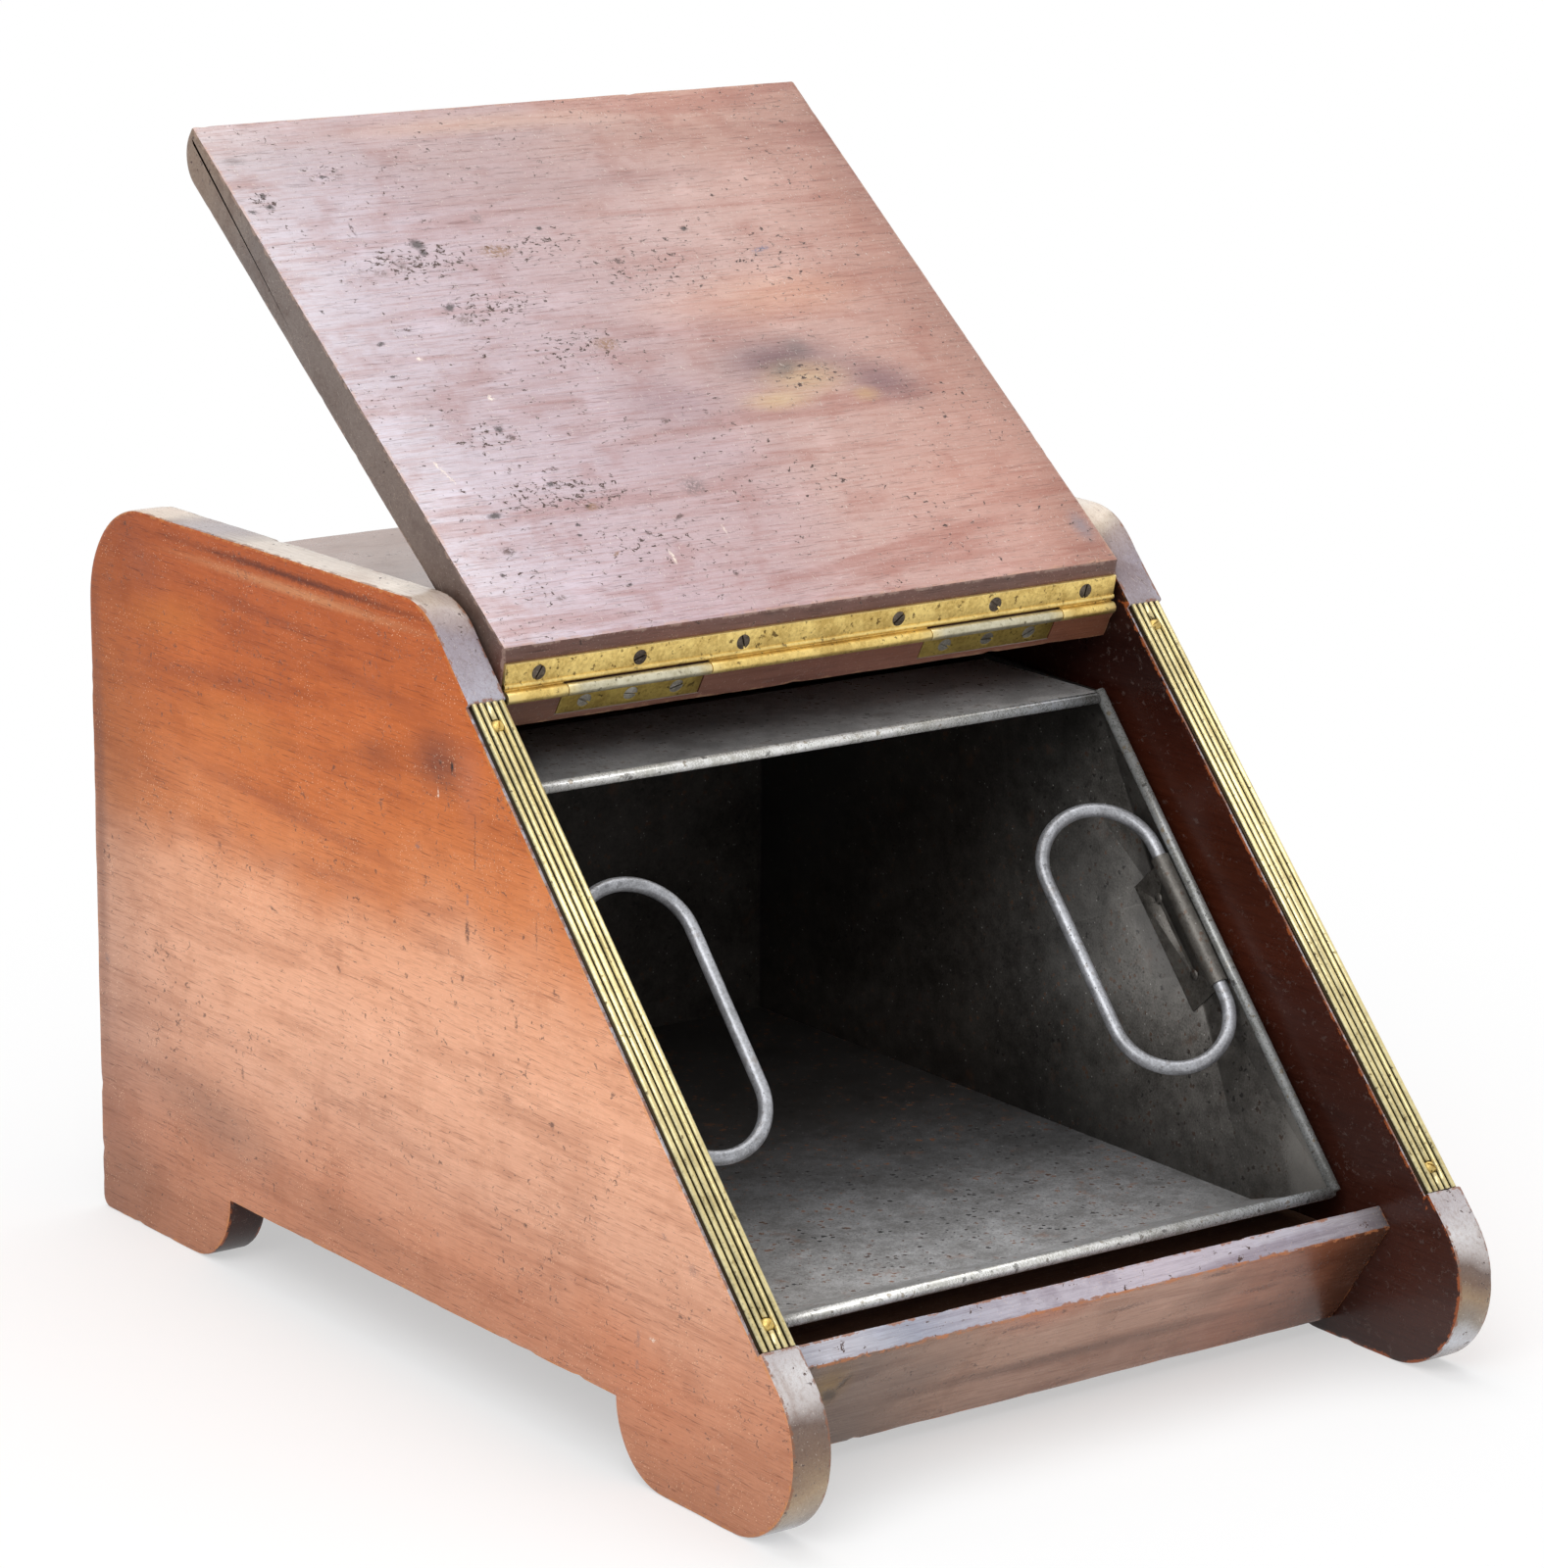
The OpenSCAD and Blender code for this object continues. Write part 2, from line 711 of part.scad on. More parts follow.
echo(pin = pin, open_angle = open_angle, lid_travel = lid_travel);
echo(rim_angle = rim_angle, bail_x = bail_x, bail_u = bail_u, bail_drop = bail_drop);
echo(rim_top = rim_top, rim_bottom = rim_bottom, lip_back_y = lip_back_y);

left_side();
right_side();
back_board();
top_board();
bottom_board();
front_apron();
left_trim_strip();
right_trim_strip();
trim_screws();
left_short_leaf();
right_short_leaf();
short_leaf_screws();
lid_board();
long_leaf();
hinge_pin();
long_leaf_screws();
liner_left_wall();
liner_right_wall();
liner_hood();
liner_back();
liner_floor();
liner_lip();
left_strap();
right_strap();
strap_rivets();
left_bail();
right_bail();
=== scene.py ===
"""Coal scuttle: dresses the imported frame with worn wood, brass and sheet steel.

Pieces are made in millimetres, in the frame of the CAD model, and scaled to
metres when their meshes are built.
"""
import bpy
import bmesh
import math
from mathutils import Matrix, Vector, noise


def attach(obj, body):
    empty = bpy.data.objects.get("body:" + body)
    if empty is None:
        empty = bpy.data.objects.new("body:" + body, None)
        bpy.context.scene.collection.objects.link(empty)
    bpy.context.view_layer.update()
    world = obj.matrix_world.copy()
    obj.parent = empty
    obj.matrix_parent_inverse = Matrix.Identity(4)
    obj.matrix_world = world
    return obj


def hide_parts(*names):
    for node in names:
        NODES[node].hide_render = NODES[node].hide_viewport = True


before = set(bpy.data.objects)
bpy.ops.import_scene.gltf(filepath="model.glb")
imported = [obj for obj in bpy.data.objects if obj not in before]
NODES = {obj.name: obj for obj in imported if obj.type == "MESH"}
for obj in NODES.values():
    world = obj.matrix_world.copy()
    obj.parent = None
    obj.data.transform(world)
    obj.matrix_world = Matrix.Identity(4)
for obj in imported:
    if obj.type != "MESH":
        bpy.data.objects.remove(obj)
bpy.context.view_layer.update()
MM = 0.001


# ---------------------------------------------------------------- dimensions

SLOPE = math.radians(46.85)
SLOPE_START = Vector((-233.156, 61.296))
SIDE_H, BOX_W, SIDE_T = 301.0, 330.0, 17.0
HALF_IN = BOX_W / 2 - SIDE_T
BOARD_REAR, TOP_UNDER, TOP_Z = 240.5, 252.8, 272
TRIM_FOOT, TRIM_HEAD, TRIM_IN = 14.8, 45.2, 2.54
PIN = Vector((-32.8368, 266.359))
OPEN = math.radians(37.3464)
LID_BEVEL = math.radians(25.4)
RAIL = math.radians(30)
RAIL_DOWN = Vector((math.sin(RAIL), -math.cos(RAIL)))
RAIL_IN = Vector((math.cos(RAIL), math.sin(RAIL)))
LEAF_X, LEAF_SCREW_X, LONG_SCREW_X = 85, 21, (37, 84.5, 130)
SCREW_Y, SCREW_R = 8.2, 3.1
APRON_LEAN = math.radians(34.4)
RIM_TOP = Vector((-31.1099, 229.6))
RIM_BOTTOM = Vector((-178.584, 61.9))
RIM = math.radians(48.6719)
BAIL_X, BAIL_U, BAIL_DROP = 137.19, 123.82, 4.67691
BAIL_R, BAIL_HALF, WIRE_R = 24.0, 33.0, 2.85


def slope_point(u, depth):
    """Point (y, z) at u up the slanted edge and depth below it."""
    along = Vector((math.cos(SLOPE), math.sin(SLOPE)))
    inwards = Vector((math.sin(SLOPE), -math.cos(SLOPE)))
    return SLOPE_START + u * along + depth * inwards


def placed(origin, angle):
    """Frame turned by angle about X at (y, z)."""
    return Matrix.Translation((0, origin[0], origin[1])) @ Matrix.Rotation(angle, 4, "X")


FLIP = Matrix.Diagonal((1, 1, -1, 1))
SLOPE_L = (SIDE_H - SLOPE_START.y) / math.sin(SLOPE)
ON_SLOPE = placed(SLOPE_START, SLOPE)
ON_RIM = placed(RIM_BOTTOM, RIM)
ON_LID_END = placed(PIN, OPEN) @ Matrix.Rotation(math.pi / 2 - LID_BEVEL, 4, "X") @ FLIP
ON_RAIL = placed(PIN, RAIL - math.pi / 2)
LID_ALONG = ((0, math.cos(OPEN), math.sin(OPEN)), PIN)
GRAIN_TURN = {"x": (0, 0, 0), "y": (0, 0, -math.pi / 2), "lid": (-OPEN, 0, 0)}


# ------------------------------------------------------------ material graph

def rgb(r, g, b):
    """Display colour 0-255 as a linear colour."""
    def lin(c):
        c /= 255
        return c / 12.92 if c <= 0.04045 else ((c + 0.055) / 1.055) ** 2.4
    return (lin(r), lin(g), lin(b), 1.0)


class Nodes:
    """A node tree, with one short method for each kind of node."""

    def __init__(self, owner):
        owner.use_nodes = True
        self.tree = owner.node_tree
        self.tree.nodes.clear()

    def add(self, kind, inputs=(), **props):
        """A new node with its properties and its inputs set."""
        node = self.tree.nodes.new("ShaderNode" + kind)
        for key, value in props.items():
            setattr(node, key, value)
        for key, value in dict(inputs).items():
            self.put(node.inputs[key], value)
        return node

    def put(self, socket, value):
        """Sets a socket from a number, a colour or another node's output."""
        if isinstance(value, bpy.types.NodeSocket):
            self.tree.links.new(value, socket)
        else:
            socket.default_value = value

    def calc(self, operation, a, b=0.0, clamp=False):
        return self.add("Math", {0: a, 1: b}, operation=operation, use_clamp=clamp).outputs[0]

    def mul(self, a, b):
        return self.calc("MULTIPLY", a, b)

    def plus(self, a, b, clamp=False):
        return self.calc("ADD", a, b, clamp)

    def minus(self, a, b):
        return self.calc("SUBTRACT", a, b)

    def most(self, a, b):
        """The larger of two values, or the second alone."""
        return b if a is None else self.calc("MAXIMUM", a, b)

    def vector(self, operation, *values):
        node = self.add("VectorMath", enumerate(values), operation=operation)
        return node.outputs["Value" if operation in ("LENGTH", "DOT_PRODUCT") else "Vector"]

    def seen(self):
        """1 for the rays that show things directly, in glass or in a mirror."""
        ray = self.add("LightPath").outputs
        direct = self.most(ray["Is Camera Ray"], ray["Is Glossy Ray"])
        return self.most(direct, ray["Is Transmission Ray"])


class Graph(Nodes):
    """A material's node tree, in millimetres of the rest pose."""

    def __init__(self, name):
        self.mat = bpy.data.materials.new(name)
        super().__init__(self.mat)
        self.bsdf = self.add("BsdfPrincipled")
        self.out = self.add("OutputMaterial", {0: self.bsdf.outputs[0]})
        place = self.add("TexCoord").outputs["Object"]
        self.mm = self.add("VectorMath", {0: place, "Scale": 1000}, operation="SCALE").outputs[0]

    def stretched(self, scale=(1, 1, 1), turn=(0, 0, 0), shift=(0, 0, 0)):
        """Coordinates turned about X, Y, Z and then scaled, per millimetre."""
        spin = self.add("Mapping", {0: self.mm, "Rotation": turn, "Location": shift})
        return self.vector("MULTIPLY", spin.outputs[0], scale)

    def noise(self, vector, scale=1.0, detail=4.0, rough=0.55, warp=0.0):
        return self.add("TexNoise", {"Vector": vector, "Scale": scale, "Detail": detail,
                                     "Roughness": rough, "Distortion": warp}).outputs["Fac"]

    def cells(self, vector, scale):
        """Distance to the nearest of some scattered points."""
        return self.add("TexVoronoi", {"Vector": vector, "Scale": scale}).outputs["Distance"]

    def span(self, value, a, b, lo=0.0, hi=1.0, ends="SMOOTHSTEP"):
        """Maps a..b to lo..hi, with soft ends."""
        return self.add("MapRange", {"Value": value, "From Min": a, "From Max": b, "To Min": lo,
                                     "To Max": hi}, interpolation_type=ends, clamp=False).outputs[0]

    def mix(self, share, a, b, blend="MIX"):
        """b over a; a colour of three numbers is a display colour 0-255."""
        a, b = (rgb(*c) if isinstance(c, tuple) and len(c) == 3 else c for c in (a, b))
        return self.add("Mix", {0: share, 6: a, 7: b}, data_type="RGBA", blend_type=blend).outputs[2]

    def times(self, colour, tint):
        """A colour times another, or times three factors."""
        return self.mix(1.0, colour, (*tint, 1) if isinstance(tint, tuple) else tint, "MULTIPLY")

    def along(self, line):
        """Millimetres along an axis or a (direction, origin) line."""
        if isinstance(line, str):
            return self.add("SeparateXYZ", {0: self.mm}).outputs[line]
        direction, origin = line
        return self.minus(self.vector("DOT_PRODUCT", self.mm, direction),
                          direction[1] * origin[0] + direction[2] * origin[1])

    def scale(self, spec, drift=None, display=False):
        """Colour along a line: (line, [(mm, display colour or factors), ...])."""
        line, stops = spec
        where = self.along(line)
        if drift is not None:
            where = self.plus(where, self.mul(self.minus(drift, 0.5), 60))
        lo, hi = stops[0][0], stops[-1][0]
        node = self.add("ValToRGB", {0: self.span(where, lo, hi, ends="LINEAR")})
        elements = node.color_ramp.elements
        while len(elements) < len(stops):
            elements.new(0.5)
        for element, (place, c) in zip(elements, stops):
            element.position = (place - lo) / (hi - lo)
            element.color = rgb(*c) if display else (*(c if isinstance(c, tuple) else (c, c, c)), 1)
        return node.outputs[0]

    def wear(self):
        return self.add("Attribute", attribute_name="wear").outputs["Fac"]

    def inside(self, vector, place, radii, edge, amount=1.0, degrees=0):
        """amount in an ellipsoid and 0 outside it; edge is where that begins and ends."""
        m = self.add("Mapping", {0: vector, "Location": place, "Scale": radii,
                                 "Rotation": (0, 0, math.radians(degrees))}, vector_type="TEXTURE")
        return self.span(self.vector("LENGTH", m.outputs[0]), *edge, 0.0, amount)

    def face_place(self, face):
        """Place in millimetres on a face, shaken a little so that marks get ragged edges."""
        lines = {"side": ("Y", "Z"), "front": ("X", "Z"), "lid": ("X", LID_ALONG)}[face]
        flat = self.add("CombineXYZ", {i: self.along(line) for i, line in enumerate(lines)})
        rough = self.add("TexNoise", {"Vector": self.mm, "Scale": 0.6, "Detail": 4, "Roughness": 0.75})
        shake = self.vector("MULTIPLY_ADD", rough.outputs["Color"], (4, 4, 0), (-2, -2, 0))
        return self.vector("ADD", flat.outputs[0], shake)

    def spot(self, place, a, b, ra, rb, degrees, amount, edge):
        """A spot of the given half-lengths on a face."""
        return self.inside(place, (a, b, 0), (ra, rb, 1), edge, amount, degrees)

    def after(self, place, value):
        """The same place, to be worked out once value is known, so that few values wait."""
        return self.vector("MULTIPLY_ADD", value, (1e-4, 1e-4, 1e-4), place)

    def marked(self, colour, grain, place, radii, tint, share):
        """The colour with a ragged patch of a tint at a place."""
        inside = self.inside(self.mm, place, radii, (1.0, 0.5))
        ragged = self.mul(inside, self.span(self.plus(grain, inside), 0.7, 1.2))
        return self.mix(self.mul(ragged, share), colour, tint)

    def bump(self, height, distance, strength, after=None):
        """Adds height, in millimetres when distance is 1, to the surface's normal."""
        inputs = {"Strength": strength, "Distance": distance * MM, "Height": height}
        if after is not None:
            inputs["Normal"] = after
        return self.add("Bump", inputs).outputs[0]

    def finish(self, colour, roughness, normal, metallic=0.0, **sockets):
        values = {"Base Color": colour, "Roughness": roughness, "Normal": normal, "Metallic": metallic}
        values.update({name.replace("_", " "): value for name, value in sockets.items()})
        for name, value in values.items():
            self.put(self.bsdf.inputs[name], value)
        return self.mat


# ------------------------------------------------------------------ materials

TINTS = {"k": (44, 28, 24), "d": (96, 70, 64), "s": (132, 110, 110), "b": (146, 108, 82),
         "u": (108, 108, 132), "p": (246, 230, 214)}


def wood(name, base, grain="x", tints=(), lines=0.5, figure=0.3, pore=0.4, pits=0.4, pit_size=0.4,
         specks=0.2, scratch=0.4, face=None, patches_and_sheens=(), spots=(), crowds=(), worn=(196, 132, 78),
         worn_amount=0.7, rough=0.36, coat=0.0, gloss=0.5, dark=(0.62, 0.5, 0.44), seed=0):
    """Old polished mahogany.

    base and tints are (line, stops) pairs for Graph.scale, base in display
    colours and tints in factors; on some boards they hold painted sheen and
    painted highlights as well as the wood's tone. Patches and sheens, spots and
    crowds of pits are ellipses on one face: middle, half-lengths, then degrees,
    colour and strength, or weight; some of the patches are painted sheen and
    painted highlights.
    """
    g = Graph(name)
    turn = GRAIN_TURN[grain]
    shift = (seed * 37.1, seed * 11.3, seed * 23.7)
    even = g.stretched((1, 1, 1), turn, shift)
    drift = g.noise(even, 0.014, 3, 0.5)
    patch = g.noise(even, 0.035, 5, 0.62)
    broad = g.noise(g.stretched((0.006, 0.05, 0.05), turn, shift), 1.0, 4, 0.6, 0.6)
    streak = g.noise(g.stretched((0.03, 0.7, 0.7), turn, shift), 1.0, 3, 0.65, 0.15)
    fibre = g.noise(g.stretched((0.08, 2.0, 2.0), turn, shift), 1.0, 2, 0.6)
    grit = g.noise(even, 0.9, 4, 0.75)

    def over(value, a, b, amount, tone):
        """The colour with a tone laid over it as value goes from a to b."""
        return g.mix(g.mul(g.span(value, a, b), amount), colour, tone)

    colour = g.scale(base, drift, True)
    for tint in tints:
        colour = g.times(colour, g.scale(tint, drift))
    pale, deep = g.times(colour, (1.5, 1.6, 1.7)), g.times(colour, dark)
    colour = over(broad, 0.5, 0.36, figure, deep)
    colour = over(patch, 0.52, 0.66, figure * 0.7, deep)
    colour = over(patch, 0.46, 0.34, figure * 0.3, pale)
    where = g.face_place(face) if face else None
    # Patches of tone; some of them are painted sheen and painted highlights.
    for a, b, ra, rb, degrees, tint, amount in patches_and_sheens:
        mask = g.spot(where, a, b, ra, rb, degrees, amount, (1.0, 0.0))
        colour = g.mix(mask, colour, tint)
        where = g.after(where, mask)
    colour = over(streak, 0.5, 0.36, lines * 0.75, g.times(colour, dark))
    colour = over(streak, 0.54, 0.68, lines * 0.15, pale)
    colour = over(fibre, 0.5, 0.38, lines * 0.55, g.times(colour, dark))
    colour = over(grit, 0.5, 0.34, lines * 0.35, g.times(colour, (0.8, 0.76, 0.74)))
    pores = g.mul(g.span(fibre, 0.6, 0.68), pore)
    colour = g.mix(pores, colour, g.times(colour, (0.42, 0.34, 0.32)))

    dusty = g.mul(g.span(g.cells(even, 0.75), 0.2, 0.1),
                  g.span(g.noise(even, 0.04, 3, 0.6), 0.46, 0.6))
    colour = g.mix(g.mul(dusty, specks), colour, (250, 214, 180))

    flaw = g.noise(g.stretched((0.75, 1, 1), turn, shift), pit_size, 4, 0.75, 0.5)
    crowd = g.mul(g.span(g.noise(even, 0.03, 3, 0.6), 0.4, 0.62), 0.05)
    for a, b, ra, rb, weight in crowds:
        crowd = g.most(crowd, g.spot(where, a, b, ra, rb, 0, weight, (1.1, 0.2)))
        where = g.after(where, crowd)
    level = g.plus(flaw, crowd)
    holes = g.mul(g.span(level, 0.67, 0.69), min(pits * 1.5, 1.0))
    lips = g.mul(g.span(level, 0.64, 0.665), pits)
    colour = g.mix(g.mul(lips, 0.3), colour, g.mix(0.6, colour, (240, 222, 212)))
    colour = g.mix(holes, colour, (74, 50, 44))
    scars = None
    for angle, size in ((0.6, 0.55), (-0.9, 0.7), (1.9, 0.6)):
        spun = g.stretched((0.1, size * 2.4, size * 2.4), (turn[0], angle, turn[2] + angle), shift)
        scars = g.most(scars, g.span(g.noise(spun, 1.0, 1, 0.4), 0.72, 0.77))
    scars = g.mul(scars, scratch)
    colour = g.mix(scars, colour, g.mix(0.55, colour, (246, 232, 220)))

    masks, dents = {}, None
    broken = g.span(g.noise(even, 0.8, 3, 0.7), 0.4, 0.52)
    for key, a, b, ra, rb, degrees, amount in spots:
        mask = g.spot(where, a, b, ra, rb, degrees, amount, (1.3, 0.3))
        masks[key] = g.most(masks.get(key), mask)
        where = g.after(where, masks[key])
    for key in sorted(masks):
        mask = masks[key] if key == "k" else g.mul(masks[key], broken)
        colour = g.mix(mask, colour, TINTS[key])
        if key in "kd":
            dents = g.most(dents, mask)

    rub = g.mul(g.noise(even, 0.17, 5, 0.75), 1.5)
    rub = g.mul(g.span(g.plus(g.mul(g.wear(), 0.55), rub), 1.24, 1.36), worn_amount)
    colour = g.mix(rub, colour, worn)

    roughness = g.plus(rough, g.mul(g.minus(patch, 0.5), 0.3))
    roughness = g.plus(roughness, g.mul(holes, 0.3))
    roughness = g.plus(roughness, g.mul(rub, 0.15), True)
    height = g.minus(g.mul(streak, 0.3), g.mul(pores, 0.4))
    height = g.minus(height, g.mul(holes, 2.2))
    height = g.minus(height, g.mul(scars, 0.7))
    if dents:
        height = g.minus(height, g.mul(dents, 2.0))
    normal = g.bump(height, 0.16, 0.9, g.bump(g.noise(even, 0.03, 2), 0.8, 0.5))
    return g.finish(colour, roughness, normal, Coat_Weight=coat, Coat_Roughness=0.2,
                    Specular_IOR_Level=gloss)


def brass(name, bright, dull, dirt, amount, rough, shine, stretch=(0.25, 0.25, 0.25), valley=None,
          seed=0):
    """Old brass: patchy tarnish, dark spots, fine rubbing and bright arrises."""
    g = Graph(name)
    shift = (seed * 17.3, seed * 5.9, seed * 31.1)
    even = g.stretched(shift=shift)
    fleck = g.noise(even, 0.7, 4, 0.7)
    drawn = g.noise(g.stretched(stretch, shift=shift), 1.0, 4, 0.6)
    tarnish = g.plus(g.mul(g.noise(even, 0.09, 5, 0.65), 0.6), g.mul(fleck, 0.4))
    colour = g.mix(g.span(tarnish, 0.5 - 0.3 * amount, 0.78 - 0.3 * amount), bright, dull)
    spots = g.span(g.noise(even, 0.35, 3, 0.6), 0.6, 0.7)
    colour = g.mix(g.mul(spots, 0.75), colour, dirt)
    pin = g.mul(g.span(g.cells(even, 0.7), 0.2, 0.08), g.span(fleck, 0.45, 0.6))
    colour = g.mix(g.mul(pin, 0.7), colour, dirt)
    wear = g.wear()
    if valley:
        colour = g.mix(g.span(wear, 0.75, 0.1), colour, valley)
        wear = g.span(wear, 0.82, 1.0)
    colour = g.mix(g.mul(wear, shine), colour, (236, 214, 150))
    roughness = g.plus(rough, g.mul(tarnish, 0.25))
    roughness = g.plus(roughness, g.mul(spots, 0.2), True)
    height = g.minus(g.mul(drawn, 0.5), g.mul(pin, 0.8))
    height = g.minus(height, g.mul(spots, 0.3))
    return g.finish(colour, roughness, g.bump(height, 0.12, 0.7), 0.9)


def steel(name, base, light, rust, rough, metallic, mottle, dents=0.8, seed=0, marks=(), tints=(),
          flakes=0.0):
    """Aged sheet steel or zinc: mottled, pitted, flecked and dented."""
    g = Graph(name)
    shift = (seed * 13.7, seed * 41.9, seed * 7.3)
    even = g.stretched(shift=shift)
    cloud = g.noise(even, 0.03, 5, 0.65, 0.4)
    blotch = g.noise(even, 0.16, 4, 0.65)
    grit = g.noise(even, 1.1, 3, 0.7)
    tone = g.plus(g.mul(cloud, 0.35), g.mul(blotch, 0.3))
    tone = g.plus(tone, g.mul(grit, 0.35))
    colour = g.mix(g.span(tone, 0.5 - 0.2 * mottle, 0.5 + 0.22 * mottle), base, light)
    # Factor ramps. On the liner they are painted shade, and on the hood painted light as well.
    for tint in tints:
        colour = g.times(colour, g.scale(tint))
    flecks = g.mul(g.span(g.cells(even, 0.35), 0.14, 0.05), g.span(blotch, 0.42, 0.6))
    colour = g.mix(g.mul(flecks, 0.55), colour, (214, 212, 206))
    hollow = g.mul(g.span(g.cells(even, 0.55), 0.22, 0.08), g.span(cloud, 0.4, 0.6))
    colour = g.mix(g.mul(hollow, 0.6), colour, (24, 22, 22))
    stain = g.span(g.noise(even, 0.07, 4, 0.7), 0.6, 0.74)
    colour = g.mix(g.mul(stain, 0.5), colour, rust)
    scatter = g.cells(g.stretched((1, 1.3, 1.3), (0.3, 0.5, 0.7), shift), 0.22)
    flake = g.calc("LESS_THAN", g.plus(scatter, g.mul(grit, 0.7)),
                   g.span(blotch, 0.4, 0.62, 0.4, 0.64))
    crumb = g.mix(g.span(cloud, 0.44, 0.56), (30, 27, 26), rust)
    colour = g.mix(g.mul(flake, flakes), colour, crumb)
    for mark in marks:
        colour = g.marked(colour, grit, *mark)
    colour = g.mix(g.mul(g.wear(), 0.5), colour, light)
    roughness = g.plus(rough, g.mul(g.minus(tone, 0.5), 0.5), True)
    normal = g.bump(g.noise(even, 0.02, 2), 2.0 * dents, 0.6)
    height = g.minus(g.mul(grit, 0.35), hollow)
    height = g.plus(height, g.mul(flake, 3.0 * flakes))
    return g.finish(colour, roughness, g.bump(height, 0.14, 0.8, normal), metallic)


# -------------------------------------------------------------- mesh building

def weld(source, mesh, distance, outward=True):
    """Copies source into mesh with its doubled points joined and its faces turned out."""
    bm = bmesh.new()
    bm.from_mesh(source)
    bmesh.ops.remove_doubles(bm, verts=bm.verts, dist=distance)
    if outward:
        bmesh.ops.recalc_face_normals(bm, faces=bm.faces)
    bm.to_mesh(mesh)
    bm.free()


def piece(name, shape, materials, body, node, sharp=35, pick=None):
    """A closed mesh from (points in millimetres, faces, wear), riding on a body."""
    verts, faces, wear = shape
    mesh = bpy.data.meshes.new(name)
    mesh.from_pydata([tuple(Vector(v) * MM) for v in verts], [], faces)
    mesh.attributes.new("wear", "FLOAT", "POINT").data.foreach_set("value", wear)
    weld(mesh, mesh, 0.00002)
    return dressed(name, mesh, materials, body, node, sharp, pick)


def dressed(name, mesh, materials, body, node, sharp=35, pick=None):
    """Makes an object of a mesh, with its finish, its body and the node it stands for."""
    for material in materials if isinstance(materials, list) else [materials]:
        mesh.materials.append(material)
    if pick:
        for polygon in mesh.polygons:
            polygon.material_index = pick(polygon.center / MM, polygon.normal)
    mesh.shade_smooth()
    mesh.set_sharp_from_angle(angle=math.radians(sharp))
    obj = bpy.data.objects.new(name, mesh)
    bpy.context.scene.collection.objects.link(obj)
    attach(obj, body)
    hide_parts(node)


def cad_copy(name, node, material, body, sharp=35, wear=None, pick=None):
    """A copy of a CAD node's mesh, joined up, for a finish with its own attributes."""
    mesh = bpy.data.meshes.new(name)
    weld(NODES[node].data, mesh, 0.000004, False)
    mesh.materials.clear()
    if wear:
        values = [wear(v.co / MM) for v in mesh.vertices]
        mesh.attributes.new("wear", "FLOAT", "POINT").data.foreach_set("value", values)
    dressed(name, mesh, material, body, node, sharp, pick)


def joined(parts):
    """Joins (verts, faces, wear) lists into one."""
    verts, faces, wear = [], [], []
    for v, f, w in parts:
        base = len(verts)
        verts += v
        faces += [[i + base for i in face] for face in f]
        wear += w
    return verts, faces, wear


def arc(centre, r, start, end, steps):
    """Points on an arc from start to end, in degrees."""
    angles = [math.radians(start + (end - start) * i / steps) for i in range(steps + 1)]
    return [Vector((centre[0] + r * math.cos(a), centre[1] + r * math.sin(a))) for a in angles]


class Outline:
    """A closed outline, counter-clockwise, sampled so that it can be inset evenly."""

    def __init__(self, points, step=4.0, r=0.8, marks=()):
        pts = [Vector(p) for p in points]
        pts = [p for i, p in enumerate(pts) if (p - pts[i - 1]).length > 1e-4]
        n = len(pts)
        sides = [pts[(i + 1) % n] - pts[i] for i in range(n)]
        self.pts, self.r = pts, r
        self.dirs = [side.normalized() for side in sides]
        self.lens = [side.length for side in sides]
        self.inward = [Vector((-d.y, d.x)) for d in self.dirs]
        self.miter, self.turn = [], []
        for i in range(n):
            a, b = self.inward[i - 1], self.inward[i]
            self.miter.append((a + b) / (1 + a.dot(b)))
            a, b = self.dirs[i - 1], self.dirs[i]
            self.turn.append(math.atan2(a.x * b.y - a.y * b.x, a.dot(b)))
        self.sharp = [turn > math.radians(20) for turn in self.turn]
        self.samples = []
        for i, length in enumerate(self.lens):
            if self.sharp[i]:
                self.samples += [("corner", i, t) for t in (-1, 0, 1)]
            else:
                self.samples.append(("edge", i, 0.0))
            count = int(length / step)
            places = {round(length * k / count, 3) for k in range(1, count)}
            if length > 6 and self.sharp[i]:
                places.add(r + 1.4)
            if length > 6 and self.sharp[(i + 1) % n]:
                places.add(length - r - 1.4)
            for mark in marks:
                rel = Vector(mark) - pts[i]
                s = rel.dot(self.dirs[i])
                if abs(rel.dot(self.inward[i])) < 0.01 and 0.01 < s < length - 0.01:
                    places.add(s)
            self.samples += [("edge", i, s) for s in sorted(places)]

    def ring(self, d):
        """The outline inset by d: (point, inward direction, how near a corner) for each sample."""
        out = []
        left = max(self.r - d, 0)
        for kind, i, s in self.samples:
            miter = self.miter[i]
            half = self.turn[i] / 2
            if kind == "corner":
                corner = self.pts[i] + d * miter
                reach = left * math.tan(half)
                if s < 0:
                    p = corner - self.dirs[i - 1] * reach
                elif s > 0:
                    p = corner + self.dirs[i] * reach
                else:
                    p = corner + miter.normalized() * left * (1 / math.cos(half) - 1)
                out.append((p, miter.normalized(), 1.0))
            else:
                j = (i + 1) % len(self.pts)
                lo = d * miter.dot(self.dirs[i])
                lo += left * math.tan(half) if self.sharp[i] else 0
                hi = self.lens[i] + d * self.miter[j].dot(self.dirs[i])
                hi -= left * math.tan(self.turn[j] / 2) if self.sharp[j] else 0
                t = min(max(s, lo), hi) if s else lo
                p = self.pts[i] + self.inward[i] * d + self.dirs[i] * t
                edge = min(abs(s), abs(self.lens[i] - s))
                near = (self.sharp[i] or self.sharp[j]) and edge < self.r + 2 and self.lens[i] > 6
                out.append((p, self.inward[i], 0.4 if near else 0.0))
        return out


